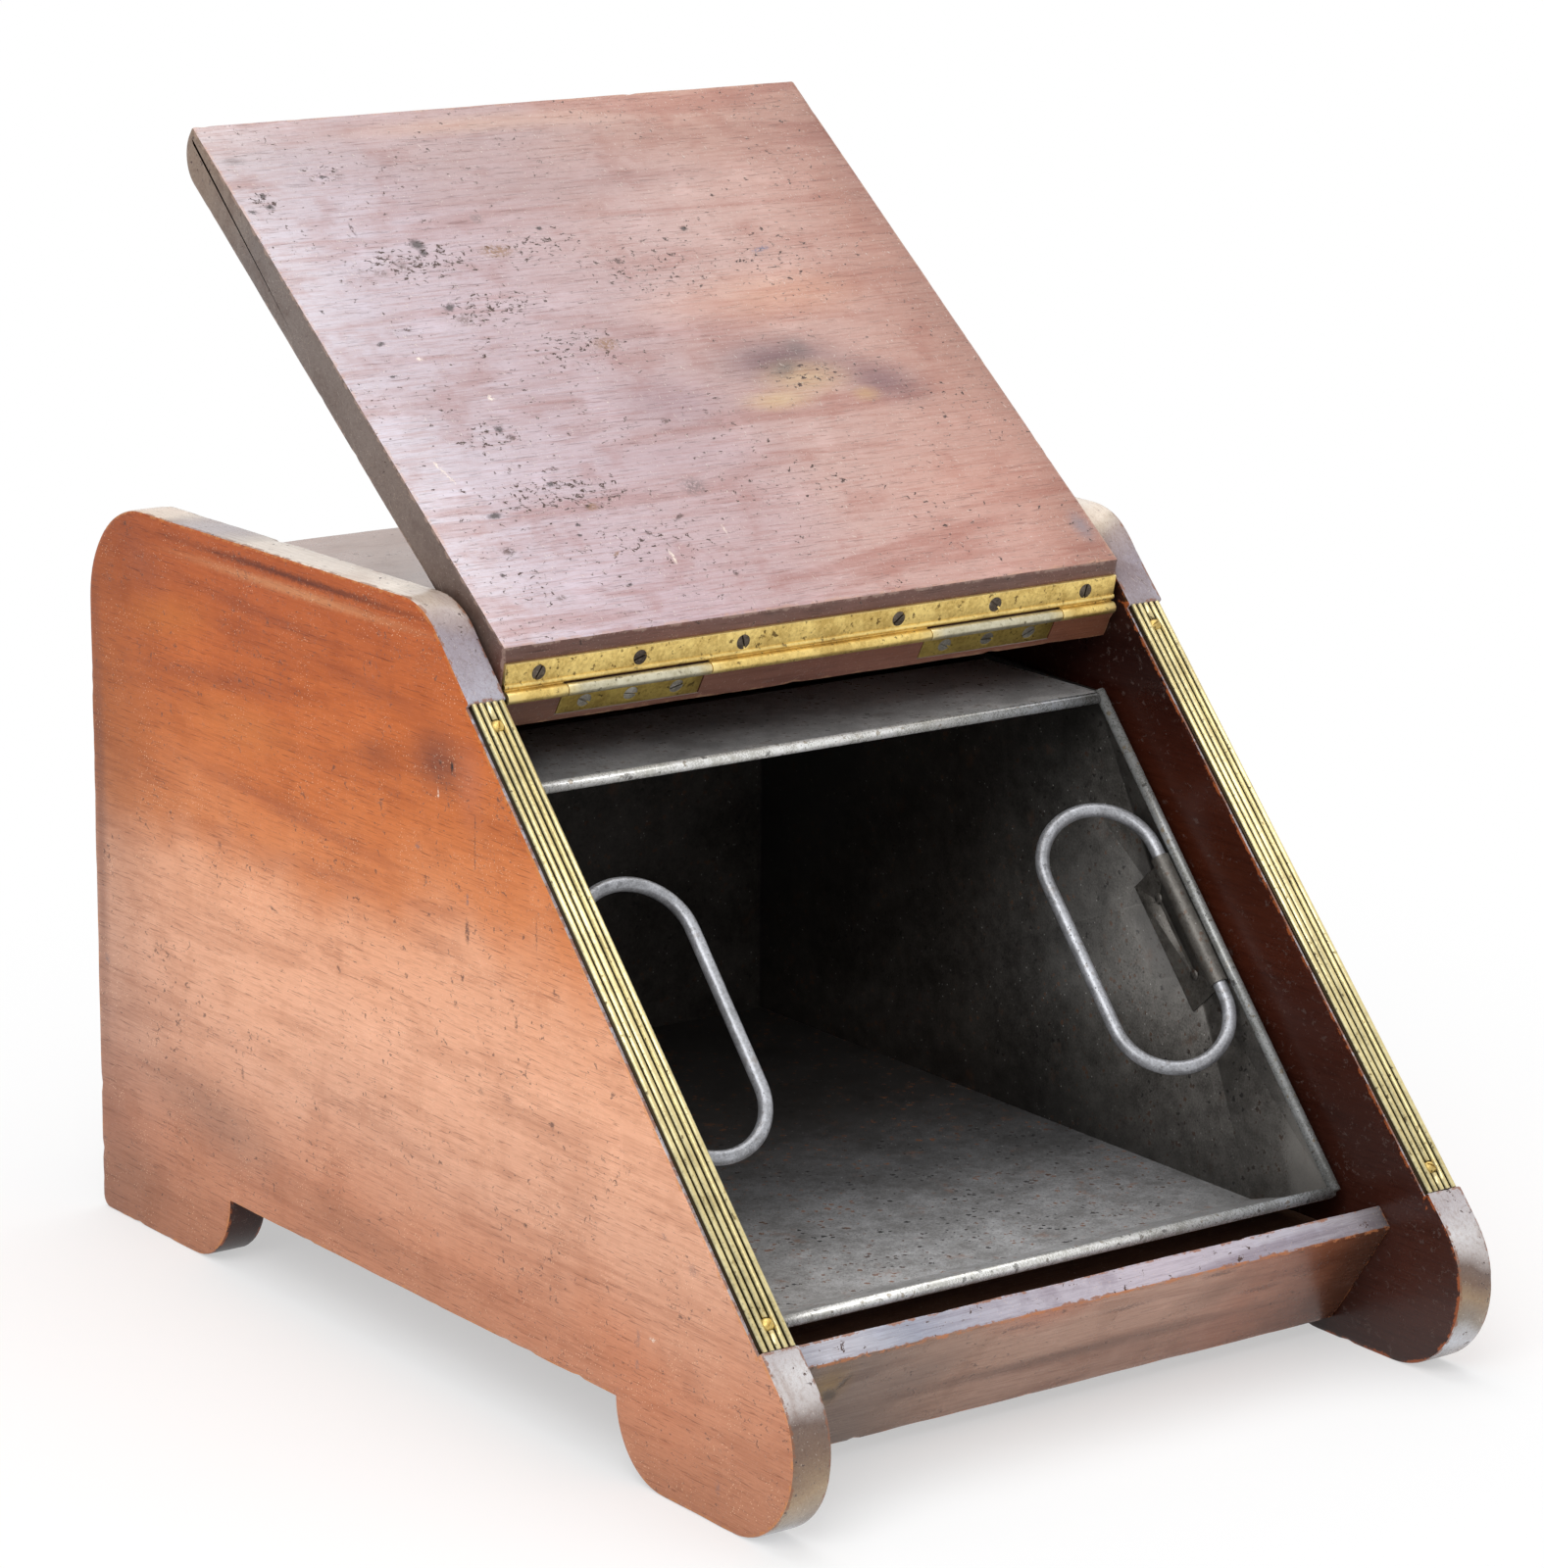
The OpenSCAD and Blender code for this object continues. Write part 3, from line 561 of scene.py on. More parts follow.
def chip(p, amount, seed):
    """How far an arris is worn back at a place: a little all along, with some deep nicks."""
    q = Vector(p) + Vector((seed * 31.7, seed * 17.9, seed * 7.7))
    soft = max(0.0, noise.noise(q * 0.05) + 0.25) * 0.35
    nick = max(0.0, noise.noise(q * 0.21) - 0.42) * 3.0
    prick = max(0.0, noise.noise(q * 0.6) - 0.5) * 1.6
    return amount * (soft + nick + prick)


def board(name, outline, half, materials, replaces, bevel=0.8, step=4.0, wear=1.0, seed=1,
          pick=None, columns=(), shape=None, body="box"):
    """A board of constant outline across half = (x0, x1), with rounded and chipped arrises."""
    x0, x1 = half
    rounds = [(0.0, 1.0), (0.29, 0.29), (1.0, 0.0)]
    inner = [(4.0, 0.0), (1.5, 0.35)]
    start, width = x0 + bevel + 1.4, x1 - x0 - 2 * bevel - 2.8
    count = max(1, int(width / step))
    xs = {round(start + width * k / count, 4) for k in range(count + 1)} | set(columns)
    rows = [(x0, bevel + d, w, 1) for d, w in inner]
    rows += [(x0 + bevel * dx, bevel * dd, 1.0, 1) for dx, dd in rounds]
    rows += [(x, 0.0, 0.35 if min(x - x0, x1 - x) < bevel + 1.5 else 0.0, 0) for x in sorted(xs)]
    rows += [(x1 - bevel * dx, bevel * dd, 1.0, -1) for dx, dd in reversed(rounds)]
    rows += [(x1, bevel + d, w, -1) for d, w in reversed(inner)]
    verts, worn, m = [], [], len(outline.samples)
    for x, d, w, side in rows:
        for (y, z), inwards, corner in outline.ring(d):
            v = Vector((x, *(shape(x, y, z) if shape else (y, z))))
            level = max(w if d <= bevel else w * 0.5, corner if d < 2 else 0.0)
            if level > 0.3:
                push = Vector((side * w, inwards.x, inwards.y))
                v += push * min(chip(v, wear * level, seed), 2.5) * (0.6 if side else 1.0)
            verts.append(v)
            worn.append(min(1.0, max(w, corner)))
    faces = []
    for r in range(len(rows) - 1):
        for k in range(m):
            a, b = r * m + k, r * m + (k + 1) % m
            faces.append((a, b, b + m, a + m))
    faces.append(tuple(range(m)))
    faces.append(tuple(reversed(range((len(rows) - 1) * m, len(rows) * m))))
    piece(name, (verts, faces, worn), materials, body, replaces, 40, pick)


def lathe(profile, steps):
    """Turns (r, z) points round Z; the ends close on the axis."""
    verts, faces = [], []
    n = len(profile)
    for i in range(steps):
        a = 2 * math.pi * i / steps
        verts += [Vector((r * math.cos(a), r * math.sin(a), z)) for r, z in profile]
        j = (i + 1) % steps
        faces += [(i * n + k, j * n + k, j * n + k + 1, i * n + k + 1) for k in range(n - 1)]
    return verts, faces


def tube(path, radius, closed, seg, wobble, seed=0.0):
    """A round tube along a path, its ends capped, its radius slightly uneven."""
    n = len(path)
    verts, faces, tangents = [], [], []
    for i in range(n):
        a = path[i - 1] if closed or i else path[i]
        b = path[(i + 1) % n] if closed or i < n - 1 else path[i]
        tangents.append((b - a).normalized())
    side = tangents[0].orthogonal().normalized()
    for point, tangent in zip(path, tangents):
        side = (side - tangent * side.dot(tangent)).normalized()
        up = tangent.cross(side)
        for k in range(seg):
            a = 2 * math.pi * k / seg
            out = side * math.cos(a) + up * math.sin(a)
            bump = noise.noise(point * 0.12 + out * 0.6 + Vector((seed, 0, 0)))
            verts.append(point + out * (radius * (1 - wobble * (0.5 + 0.5 * bump))))
    for i in range(n if closed else n - 1):
        for k in range(seg):
            a, b = i * seg + k, i * seg + (k + 1) % seg
            c, d = ((i + 1) % n) * seg + (k + 1) % seg, ((i + 1) % n) * seg + k
            faces.append((a, b, c, d))
    if not closed:
        faces.append(tuple(range(seg)))
        faces.append(tuple(reversed(range((n - 1) * seg, n * seg))))
    return verts, faces


def plate(to_world, x0, x1, y0, y1, face, back, holes=(), deep=1.2, round_off=0.25):
    """A flat leaf with softened edges and countersunk holes, in a local frame."""
    bm = bmesh.new()
    s = 1 if back > face else -1

    def loop(points, z):
        vs = [bm.verts.new((x, y, z)) for x, y in points]
        return vs, [bm.edges.new((v, vs[(i + 1) % len(vs)])) for i, v in enumerate(vs)]

    def box(inset):
        a, b, c, d = x0 + inset, x1 - inset, y0 + inset, y1 - inset
        count = max(2, int((b - a) / 4))
        return ([(a + (b - a) * i / count, c) for i in range(count)]
                + [(b, c + (d - c) * i / 3) for i in range(3)]
                + [(b - (b - a) * i / count, d) for i in range(count)]
                + [(a, d - (d - c) * i / 3) for i in range(3)])

    def circle(hole, r):
        angles = [2 * math.pi * i / 32 for i in range(32)]
        return [(hole[0] + r * math.cos(a), hole[1] + r * math.sin(a)) for a in angles]

    def band(va, vb):
        for i in range(len(va)):
            j = (i + 1) % len(va)
            bm.faces.new((va[i], va[j], vb[j], vb[i]))

    outer, edges = loop(box(round_off), face)
    rims = [loop(circle(hole, SCREW_R), face) for hole in holes]
    bmesh.ops.triangle_fill(bm, use_beauty=True, edges=edges + [e for rim in rims for e in rim[1]])
    mid, low, foot = (loop(box(inset), z)[0] for inset, z in (
        (round_off * 0.3, face + s * round_off * 0.3), (0, face + s * round_off), (0, back)))
    band(outer, mid)
    band(mid, low)
    band(low, foot)
    bm.faces.new(foot)
    for (rim, _), hole in zip(rims, holes):
        floor = loop(circle(hole, SCREW_R - deep), face + s * deep)[0]
        band(rim, floor)
        bm.faces.new(floor)
    bm.verts.index_update()
    verts = [to_world @ v.co for v in bm.verts]
    faces = [[v.index for v in f.verts] for f in bm.faces]
    rim = {v.index for v in mid + low}
    wear = [1.0 if i in rim else 0.0 for i in range(len(verts))]
    bm.free()
    return verts, faces, wear


def slotted(profile, slot_w, slot_d, top):
    """A screw head turned from a profile, with a sawn slot and softened edges."""
    corners = [Vector((x * 10, y * slot_w / 2, top + z * slot_d))
               for z in (-1, 1) for x, y in ((-1, -1), (1, -1), (1, 1), (-1, 1))]
    quads = [(3, 2, 1, 0), (4, 5, 6, 7), (0, 1, 5, 4), (1, 2, 6, 5), (2, 3, 7, 6), (3, 0, 4, 7)]
    tools = []
    for verts, faces in (lathe(profile, 40), (corners, quads)):
        mesh = bpy.data.meshes.new("head")
        mesh.from_pydata(verts, [], faces)
        weld(mesh, mesh, 0.0001)
        tools.append(bpy.data.objects.new("head", mesh))
        bpy.context.scene.collection.objects.link(tools[-1])
    head, saw = tools
    cut = head.modifiers.new("cut", "BOOLEAN")
    cut.object, cut.solver = saw, "EXACT"
    soft = head.modifiers.new("soft", "BEVEL")
    soft.width, soft.segments, soft.limit_method = 0.07, 2, "ANGLE"
    soft.angle_limit = math.radians(40)
    shaped = head.evaluated_get(bpy.context.evaluated_depsgraph_get())
    mesh = shaped.to_mesh()
    verts = [v.co.copy() for v in mesh.vertices]
    faces = [tuple(p.vertices) for p in mesh.polygons]
    shaped.to_mesh_clear()
    for tool in tools:
        mesh = tool.data
        bpy.data.objects.remove(tool)
        bpy.data.meshes.remove(mesh)
    return verts, faces


def stamped(shape, matrices):
    """Copies of one shape at several places."""
    verts, faces = shape
    return joined([([m @ v for v in verts], faces, [0.0] * len(verts)) for m in matrices])


# ------------------------------------------------------------------ wood parts

# Dents and stains: tint, middle, half-lengths, degrees and strength.
LEFT_SPOTS = [
    ("d", -38.4, 180.8, 0.8, 4, 0, 0.8), ("d", -83.8, 191.2, 0.4, 7, 0, 0.5),
    ("d", -34.2, 163.5, 1.2, 1.6, 0, 0.9), ("d", -96.8, 171.5, 2.4, 0.6, 10, 0.6),
    ("d", -95.4, 172.3, 0.5, 1.8, 0, 0.6), ("d", -70.3, 154.1, 0.6, 3, -5, 0.7),
    ("d", -93.7, 121.6, 1.5, 1.5, 0, 0.8), ("d", -101.5, 114.6, 1, 1, 0, 0.7),
    ("d", 126.9, 86, 1, 2.6, 0, 0.6), ("d", 20.4, 103.7, 0.6, 1.2, 0, 0.7),
    ("d", 4.6, 155, 1, 1, 0, 0.7), ("d", 52.9, 145.8, 1.1, 1, 0, 0.7),
    ("d", -46, 122.3, 2.6, 1.6, 0, 0.35), ("d", -64.1, 124.3, 3.5, 2, 0, 0.25),
    ("s", -148.8, 56, 1.2, 4, 0, 0.5), ("s", -148.2, 45.6, 1.4, 2, 0, 0.5),
    ("p", -158.1, 57.9, 2.4, 0.5, 0, 0.8), ("s", -182.8, 91, 3.2, 2.4, 0, 0.4),
    ("s", -164.9, 98.5, 1.6, 1.2, 0, 0.5), ("d", -75.7, 78.1, 1.1, 0.9, 0, 0.8),
    ("d", -14.6, 77, 0.8, 0.8, 0, 0.8), ("s", -15.9, 58.2, 0.9, 0.9, 0, 0.6),
    ("d", -29.5, 152.1, 1.6, 1.2, 20, 0.6), ("s", 234, 108.3, 1.6, 1.6, 0, 0.7),
    ("s", -198.4, 14.5, 1.6, 2.8, 0, 0.5), ("d", -43.4, 224.3, 0.5, 3, 0, 0.6),
    ("d", -43.3, 216.1, 0.5, 5, 0, 0.5), ("d", -43.2, 208.7, 0.5, 2.4, 0, 0.7),
    ("s", -38.1, 194.1, 1, 2.6, 0, 0.8), ("d", -37.3, 182, 1, 5, 0, 0.8),
    ("s", -4.1, 207.4, 1.8, 1.3, 0, 0.7), ("d", 141.9, 176.6, 1.4, 1.6, 0, 0.6),
    ("d", -9.3, 195.7, 1, 2, 0, 0.6), ("d", 25.8, 191.1, 1, 1, 0, 0.7),
    ("d", 101.2, 159.2, 4, 0.6, 14, 0.7), ("d", 185, 122, 2.6, 0.6, 16, 0.6),
    ("s", 235.3, 109.2, 1.6, 1.6, 0, 0.6), ("d", 53.6, 146.5, 1, 0.8, 0, 0.7),
    ("k", -28.1, 242.3, 1.1, 2.2, 0, 1), ("k", -20.1, 242.6, 1, 1, 0, 0.6),
    ("p", -18.6, 230.7, 0.5, 2, 0, 0.8),
]
LID_SPOTS = [(key, a, b, ra, rb, degrees, 0.9) for key, a, b, ra, rb, degrees in (
    ("k", -141.6, 240, 1.8, 1, 0), ("k", -133.1, 248.1, 1.6, 1.2, 20), ("k", -133, 241.8, 2, 1.6, 0),
    ("k", -102.2, 255.6, 2.4, 0.7, 0), ("s", -95.1, 255.6, 3, 2, 0), ("d", -103.3, 226.3, 0.5, 4, 0),
    ("k", -79.1, 214.9, 3, 3.4, 40), ("k", -78.6, 210.3, 2, 2, 30), ("s", -102.6, 201.8, 3.5, 2.4, 0),
    ("s", -91.3, 203.9, 3, 3, 0), ("s", -45.8, 226.1, 3, 3, 0), ("k", -20.4, 217.5, 1.6, 1.2, 0),
    ("b", -45.8, 207.7, 8, 4, 0), ("k", 45.6, 210.2, 1.8, 1.4, 0), ("d", 6, 196, 1.6, 2, 0),
    ("k", -81.9, 180.3, 3, 1.6, 30), ("s", -79, 173.2, 4, 3, 0), ("k", -137.6, 184.9, 0.9, 0.9, 0),
    ("k", -121, 165.2, 2, 0.8, 10), ("d", -106.1, 171, 1.4, 1, 0), ("k", -124.2, 148.1, 1.6, 0.6, 0),
    ("b", -23.3, 152.8, 6, 4, 0), ("k", -93.2, 115.7, 2, 1.6, 0), ("d", -90.1, 111, 2.6, 1.2, 0),
    ("k", -117.1, 73.6, 3.4, 1.6, 10), ("d", -105.9, 75.8, 2.2, 0.8, 20),
    ("k", -85.6, 85.6, 1.5, 1.2, 0), ("d", -80.2, 92.9, 2, 1, 0), ("b", -73.7, 72.1, 3.2, 2.4, 0),
    ("k", -84.5, 64.1, 1.2, 0.8, 0), ("k", -86.3, 59.1, 1.2, 0.8, 0), ("d", -39, 61.6, 3, 0.8, 25),
    ("s", -24.5, 75.6, 6, 5, 0), ("d", -120.1, 55.8, 3, 2, 0), ("k", -128.6, 44.7, 1, 1, 0),
    ("b", -75.6, 47.9, 1.8, 1, 20), ("d", -56.5, 55.6, 1.4, 0.9, 0), ("d", -29.7, 30.7, 1.6, 1.3, 0),
    ("k", -78.1, 32.1, 1.2, 1, 20), ("s", -110, 30.3, 2.4, 1.8, 0), ("b", -4, 124.5, 1.5, 0.8, 0),
    ("d", 2, 112.6, 0.8, 1.4, 0), ("d", -18.9, 109.9, 1.6, 1.2, 0), ("p", -88.4, 131.8, 1.4, 1.8, 0),
    ("p", -108.5, 155.5, 1.4, 0.9, 0), ("u", 75.5, 195, 5, 1.2, 10), ("p", -52.6, 42.3, 0.8, 4, 0),
    ("p", -23, 52.7, 0.5, 3, 0), ("p", -127.8, 100.2, 0.5, 5, 20), ("p", -126.1, 94.6, 0.4, 4, 15)
)]

# Left side's outer face. The pale band from z 90 to 165 in its base is a painted reflection, and the
# bright orange patch at y 120, z 228 is a painted highlight. The face turns darker and cooler towards
# its rear edge.
M_LEFT_FACE = wood("left_face_wood", ("Z", [(0, (184, 126, 96)), (50, (208, 144, 112)),
    (90, (230, 174, 144)), (130, (244, 184, 150)), (165, (240, 174, 136)), (190, (222, 138, 86)),
    (215, (212, 120, 62)), (250, (202, 106, 48)), (300, (182, 90, 42))]), "y", [("Y", [(-243, 0.96),
    (60, 1.0), (150, (0.98, 0.97, 0.96)), (195, (0.88, 0.88, 0.9)), (243, (0.64, 0.66, 0.72))])],
    lines=0.36, figure=0.34, pore=0.6, pits=0.4, specks=0.75, scratch=0.15, face="side", patches_and_sheens=[(-20,
    243, 30, 18, 0, (112, 62, 52), 0.7), (24, 237, 22, 9, 0, (136, 72, 46), 0.45), (-40, 238, 14, 22, 0,
    (196, 116, 84), 0.5), (150, 62, 80, 26, 8, (150, 112, 94), 0.6), (40, 44, 90, 16, 4, (160, 108, 82),
    0.5), (80, 294.5, 150, 2.6, 0, (96, 40, 22), 0.9), (80, 289, 130, 3.4, 0, (214, 150, 104), 0.7),
    (110, 276, 110, 5, 3, (140, 64, 34), 0.5), (140, 244, 90, 7, -4, (146, 70, 38), 0.5), (30, 262, 60,
    6, 5, (150, 74, 42), 0.45), (80, 200, 110, 5, 4, (164, 88, 56), 0.45), (180, 262, 50, 14, -8,
    (206, 118, 50), 0.5), (60, 182, 120, 6, 0, (176, 104, 74), 0.3), (238, 170, 8, 140, 0, (126, 84, 70),
    0.6), (30, 90, 90, 6, 4, (190, 134, 106), 0.5), (-80, 120, 60, 5, 6, (206, 150, 120), 0.5), (120,
    228, 60, 18, 0, (214, 128, 66), 0.5), (200, 282, 30, 14, 30, (150, 78, 50), 0.5), (-150, 40, 60, 30,
    30, (206, 130, 92), 0.4), (215, 20, 40, 24, 0, (150, 104, 80), 0.5)], crowds=[(60, 284, 140, 8,
    0.04), (90, 228, 60, 20, 0.03), (-60, 160, 60, 30, 0.03)], spots=LEFT_SPOTS, worn=(206, 140, 84),
    worn_amount=0.5, gloss=0.12, rough=0.32, seed=1)
# Edge faces of the sides. The pale grey and cream stops of the base, at the toe (z 9 and 54 to 76),
# along the slope (250 to 262) and on the top edge (298.5 to 301), are painted highlights and painted
# reflections. Towards the rear, the edges go brown.
M_EDGE = wood("edge_wood", ("Z", [(0, (124, 110, 106)), (9, (206, 210, 218)), (17, (150, 140, 128)),
    (28, (168, 142, 110)), (38, (124, 98, 80)), (46, (116, 96, 86)), (54, (196, 188, 186)),
    (62, (214, 210, 210)), (76, (186, 178, 180)), (250, (172, 164, 170)), (262, (176, 172, 182)),
    (284, (154, 142, 150)), (292, (168, 150, 146)), (298.5, (208, 192, 174)), (301, (232, 216, 198))]),
    "y", [("Y", [(-243, 1.0), (150, 1.0), (205, (0.9, 0.82, 0.74)), (225, (0.66, 0.5, 0.4)),
    (243, (0.56, 0.38, 0.28))])], lines=0.45, figure=0.5, pits=0.8, specks=0.1, scratch=0.5, worn=(136,
    84, 54), worn_amount=0.8, rough=0.26, coat=0.3, gloss=0.4, seed=2)
M_INNER = wood("inner_wood", ("Z", [(0, (54, 26, 18)), (40, (66, 34, 26)), (90, (58, 28, 20)),
    (140, (74, 34, 22)), (180, (74, 34, 20)), (210, (64, 28, 18)), (250, (40, 18, 14)),
    (300, (50, 26, 20))]), "y", lines=0.6, figure=0.4, pits=0.3, specks=0.05, scratch=0.0, worn=(160, 84,
    42), worn_amount=0.8, rough=0.3, gloss=0.35, seed=3)
# Lid's inner face. Its pale lilac towards the left end, its lighter part near the hinge and its
# lilac-grey patches are painted sheen. The dark halo, the yellow patch, the pits and the scratches are
# the wood's own marks.
M_LID_IN = wood("lid_inner_wood", ("X", [(-146, (206, 196, 204)), (-115, (194, 180, 189)),
    (-70, (186, 165, 172)), (0, (184, 156, 156)), (45, (192, 158, 150)), (90, (192, 152, 140)),
    (125, (182, 138, 124)), (146, (168, 126, 112))]), "lid", [(LID_ALONG, [(0, (1.1, 1.05, 1.04)),
    (70, 1.08), (115, 1.0), (225, 1.0), (250, (0.9, 0.86, 0.84)), (268, (0.88, 0.84, 0.8)),
    (288, (1.0, 0.92, 0.84))])], lines=0.48, figure=0.62, pore=0.6, pits=0.9, pit_size=0.42, specks=0.15,
    scratch=0.8, face="lid", patches_and_sheens=[(50, 134, 46, 20, 0, (112, 80, 86), 0.95), (92, 118, 30, 18, -20,
    (124, 88, 92), 0.85), (-10, 120, 44, 22, 0, (150, 120, 130), 0.5), (56, 124, 30, 14, 0,
    (200, 168, 130), 0.8), (50, 130, 12, 6, 20, (120, 104, 96), 0.8), (38, 114, 24, 8, 0,
    (206, 176, 136), 0.8), (80, 112, 10, 6, 0, (198, 160, 112), 0.6), (62, 140, 10, 9, 0,
    (120, 106, 104), 0.6), (70, 170, 60, 22, 0, (216, 164, 136), 0.55), (20, 168, 40, 16, 0,
    (214, 172, 158), 0.4), (0, 240, 120, 12, 0, (164, 134, 132), 0.5), (-20, 278, 90, 8, 0,
    (204, 164, 140), 0.5), (60, 262, 80, 10, 0, (168, 122, 108), 0.45), (-60, 150, 60, 26, 0,
    (184, 162, 168), 0.35), (-20, 92, 60, 16, 0, (176, 150, 158), 0.35), (100, 60, 60, 22, 0,
    (206, 156, 140), 0.4), (139, 30, 7, 12, 0, (140, 132, 140), 0.7), (130, 200, 20, 60, 0,
    (176, 126, 108), 0.4), (-137, 268, 8, 3, 0, (120, 104, 104), 0.7)], crowds=[(-134, 245, 10, 8,
    0.121), (-100, 258, 16, 7, 0.095), (-84, 206, 46, 16, 0.121), (-30, 208, 40, 14, 0.101), (-62, 178,
    40, 16, 0.108), (-36, 152, 44, 18, 0.088), (-100, 112, 26, 14, 0.095), (-80, 80, 50, 16, 0.115),
    (-60, 50, 60, 20, 0.081), (20, 190, 60, 26, 0.081), (80, 190, 40, 30, 0.074), (10, 70, 80, 20,
    0.061), (60, 124, 24, 12, 0.095), (-120, 40, 20, 16, 0.081)], spots=LID_SPOTS, worn=(206, 160, 130),
    worn_amount=0.35, rough=0.28, coat=0.15, gloss=0.4, dark=(0.72, 0.48, 0.42), seed=4)
M_LID_OUT = wood("lid_outer_wood", ("X", [(-146, (140, 78, 48)), (0, (156, 90, 56)),
    (146, (140, 78, 48))]), "lid", lines=0.5, figure=0.4, pits=0.3, scratch=0.3, seed=5)
M_LID_EDGE = wood("lid_edge_wood", (LID_ALONG, [(0, (116, 74, 62)), (10, (110, 74, 64)),
    (24, (104, 84, 76)), (90, (112, 94, 84)), (230, (116, 104, 98)), (288, (136, 114, 96))]), "lid",
    lines=0.6, figure=0.5, pore=0.8, pits=0.7, scratch=0.3, worn=(176, 148, 134), worn_amount=0.5,
    rough=0.4, seed=6)
M_APRON = wood("apron_wood", ("X", [(-148, (126, 108, 96)), (-95, (136, 112, 98)),
    (-50, (168, 132, 112)), (0, (178, 140, 120)), (45, (176, 136, 116)), (85, (166, 114, 90)),
    (120, (128, 80, 58)), (148, (84, 50, 34))]), "x", lines=0.5, figure=0.6, pits=0.4, specks=0.05,
    scratch=0.2, face="front", patches_and_sheens=[(-116, 40, 16, 16, 20, (148, 116, 62), 0.8), (-128, 30, 14, 24, 0,
    (104, 84, 74), 0.6), (-92, 60, 30, 12, 0, (128, 92, 74), 0.6), (-70, 34, 30, 14, 10, (120, 96, 84),
    0.6), (-20, 52, 40, 12, 0, (186, 120, 92), 0.6), (30, 60, 60, 10, 0, (172, 108, 80), 0.6), (70, 40,
    30, 10, 10, (140, 104, 86), 0.6), (110, 56, 30, 16, 0, (140, 82, 54), 0.6), (140, 40, 16, 40, 0,
    (84, 52, 38), 0.7), (0, 26, 150, 5, 0, (104, 72, 56), 0.7)], spots=[("k", -112, 36, 3, 5, 60, 0.7),
    ("k", -108, 41, 4, 1.6, 60, 0.6), ("d", -30, 48, 10, 1.4, 0, 0.5), ("d", 22, 44, 14, 1.2, 0, 0.5),
    ("d", 64, 50, 9, 1.2, 0, 0.6), ("d", 92, 36, 12, 1.6, 0, 0.5)], worn=(192, 122, 78),
    worn_amount=0.75, rough=0.26, gloss=0.3, seed=7)
# Upward faces of the apron: wood under a pale lilac-grey that is a painted reflection.
M_APRON_TOP_SHEEN = wood("apron_top_wood_sheen", ("X", [(-148, (160, 164, 180)), (-110, (198, 196, 204)),
    (-80, (158, 160, 174)), (-20, (188, 180, 190)), (40, (196, 184, 194)), (100, (184, 178, 188)),
    (132, (160, 154, 160)), (148, (92, 84, 84))]), "x", lines=0.4, figure=0.7, pits=0.9, pit_size=0.3,
    specks=0.3, scratch=0.3, worn=(150, 96, 64), worn_amount=0.85, rough=0.26, coat=0.15, gloss=0.4,
    dark=(0.52, 0.46, 0.5), seed=8)
M_RAIL = wood("rail_wood", ("X", [(-148, (112, 72, 52)), (0, (120, 76, 62)), (148, (132, 84, 62))]), "x",
    lines=0.5, figure=0.4, pits=0.4, scratch=0.2, worn=(170, 130, 100), worn_amount=0.5, seed=9)
# Top board: paler towards its front as a painted reflection, browner towards the back.
M_TOP = wood("top_board_wood", ("Y", [(-10, (196, 182, 180)), (60, (186, 166, 158)),
    (130, (166, 136, 122)), (243, (146, 108, 90))]), "x", lines=0.4, figure=0.5, pits=0.4, scratch=0.4,
    worn=(176, 130, 100), rough=0.3, coat=0.4, seed=10)
M_BACK = wood("back_wood", ("Z", [(0, (112, 64, 44)), (250, (132, 80, 54))]), "x", lines=0.6, figure=0.5,
    pits=0.3, scratch=0.3, rough=0.5, seed=11)
M_UNDER = wood("under_wood", ("X", [(-148, (124, 88, 66)), (148, (118, 82, 60))]), "x", lines=0.6,
    figure=0.5, pore=0.6, pits=0.3, worn=(160, 122, 92), rough=0.65, coat=0.0, seed=12)


def side_outline():
    """Outline of a side panel, from the toe along the floor and round, counter-clockwise."""
    toe_r, foot_r, heel_r, back_r, brow_r = 36.4, 29.4, 5, 43, 30
    foot_front, foot_rear = -163.5, 168.0
    brow = slope_point(SLOPE_L, 0) + Vector((brow_r * math.tan(SLOPE / 2), 0))
    pts = arc(Vector((-206.6, toe_r)), toe_r, 90 + math.degrees(SLOPE), 270, 36)
    pts += [Vector((foot_front, 0))]
    pts += arc(Vector((foot_front, foot_r)), foot_r, 270, 360, 14)[1:]
    pts[-1] = Vector((foot_front + foot_r, foot_r))
    pts += arc(Vector((foot_rear, foot_r)), foot_r, 180, 270, 14)
    pts += arc((238, heel_r), heel_r, -90, 0, 6)
    pts += arc((200, 258), back_r, 0, 90, 20)
    pts += arc((brow.x, SIDE_H - brow_r), brow_r, 90, 90 + math.degrees(SLOPE), 12)
    return pts + [slope_point(SLOPE_L - TRIM_HEAD, 0), slope_point(SLOPE_L - TRIM_HEAD, TRIM_IN),
                  slope_point(TRIM_FOOT, TRIM_IN), slope_point(TRIM_FOOT, 0)]


def make_sides():
    outline = Outline(side_outline(), 4.0, 0.9)
    for side, name in ((-1, "left_side"), (1, "right_side")):
        def pick(c, n, side=side):
            if n.x * side > 0.8:
                return 0
            # Edge faces low down under the arches and feet take the dark inner wood as painted shade.
            under = -203 < c.y < 236 and c.z < 32
            return 1 if n.x * side < -0.8 or under else 2
        board(name + "_board", outline, sorted((side * HALF_IN, side * BOX_W / 2)),
              [M_LEFT_FACE, M_INNER, M_EDGE], name, 0.9, wear=0.8, seed=3 + side, pick=pick)


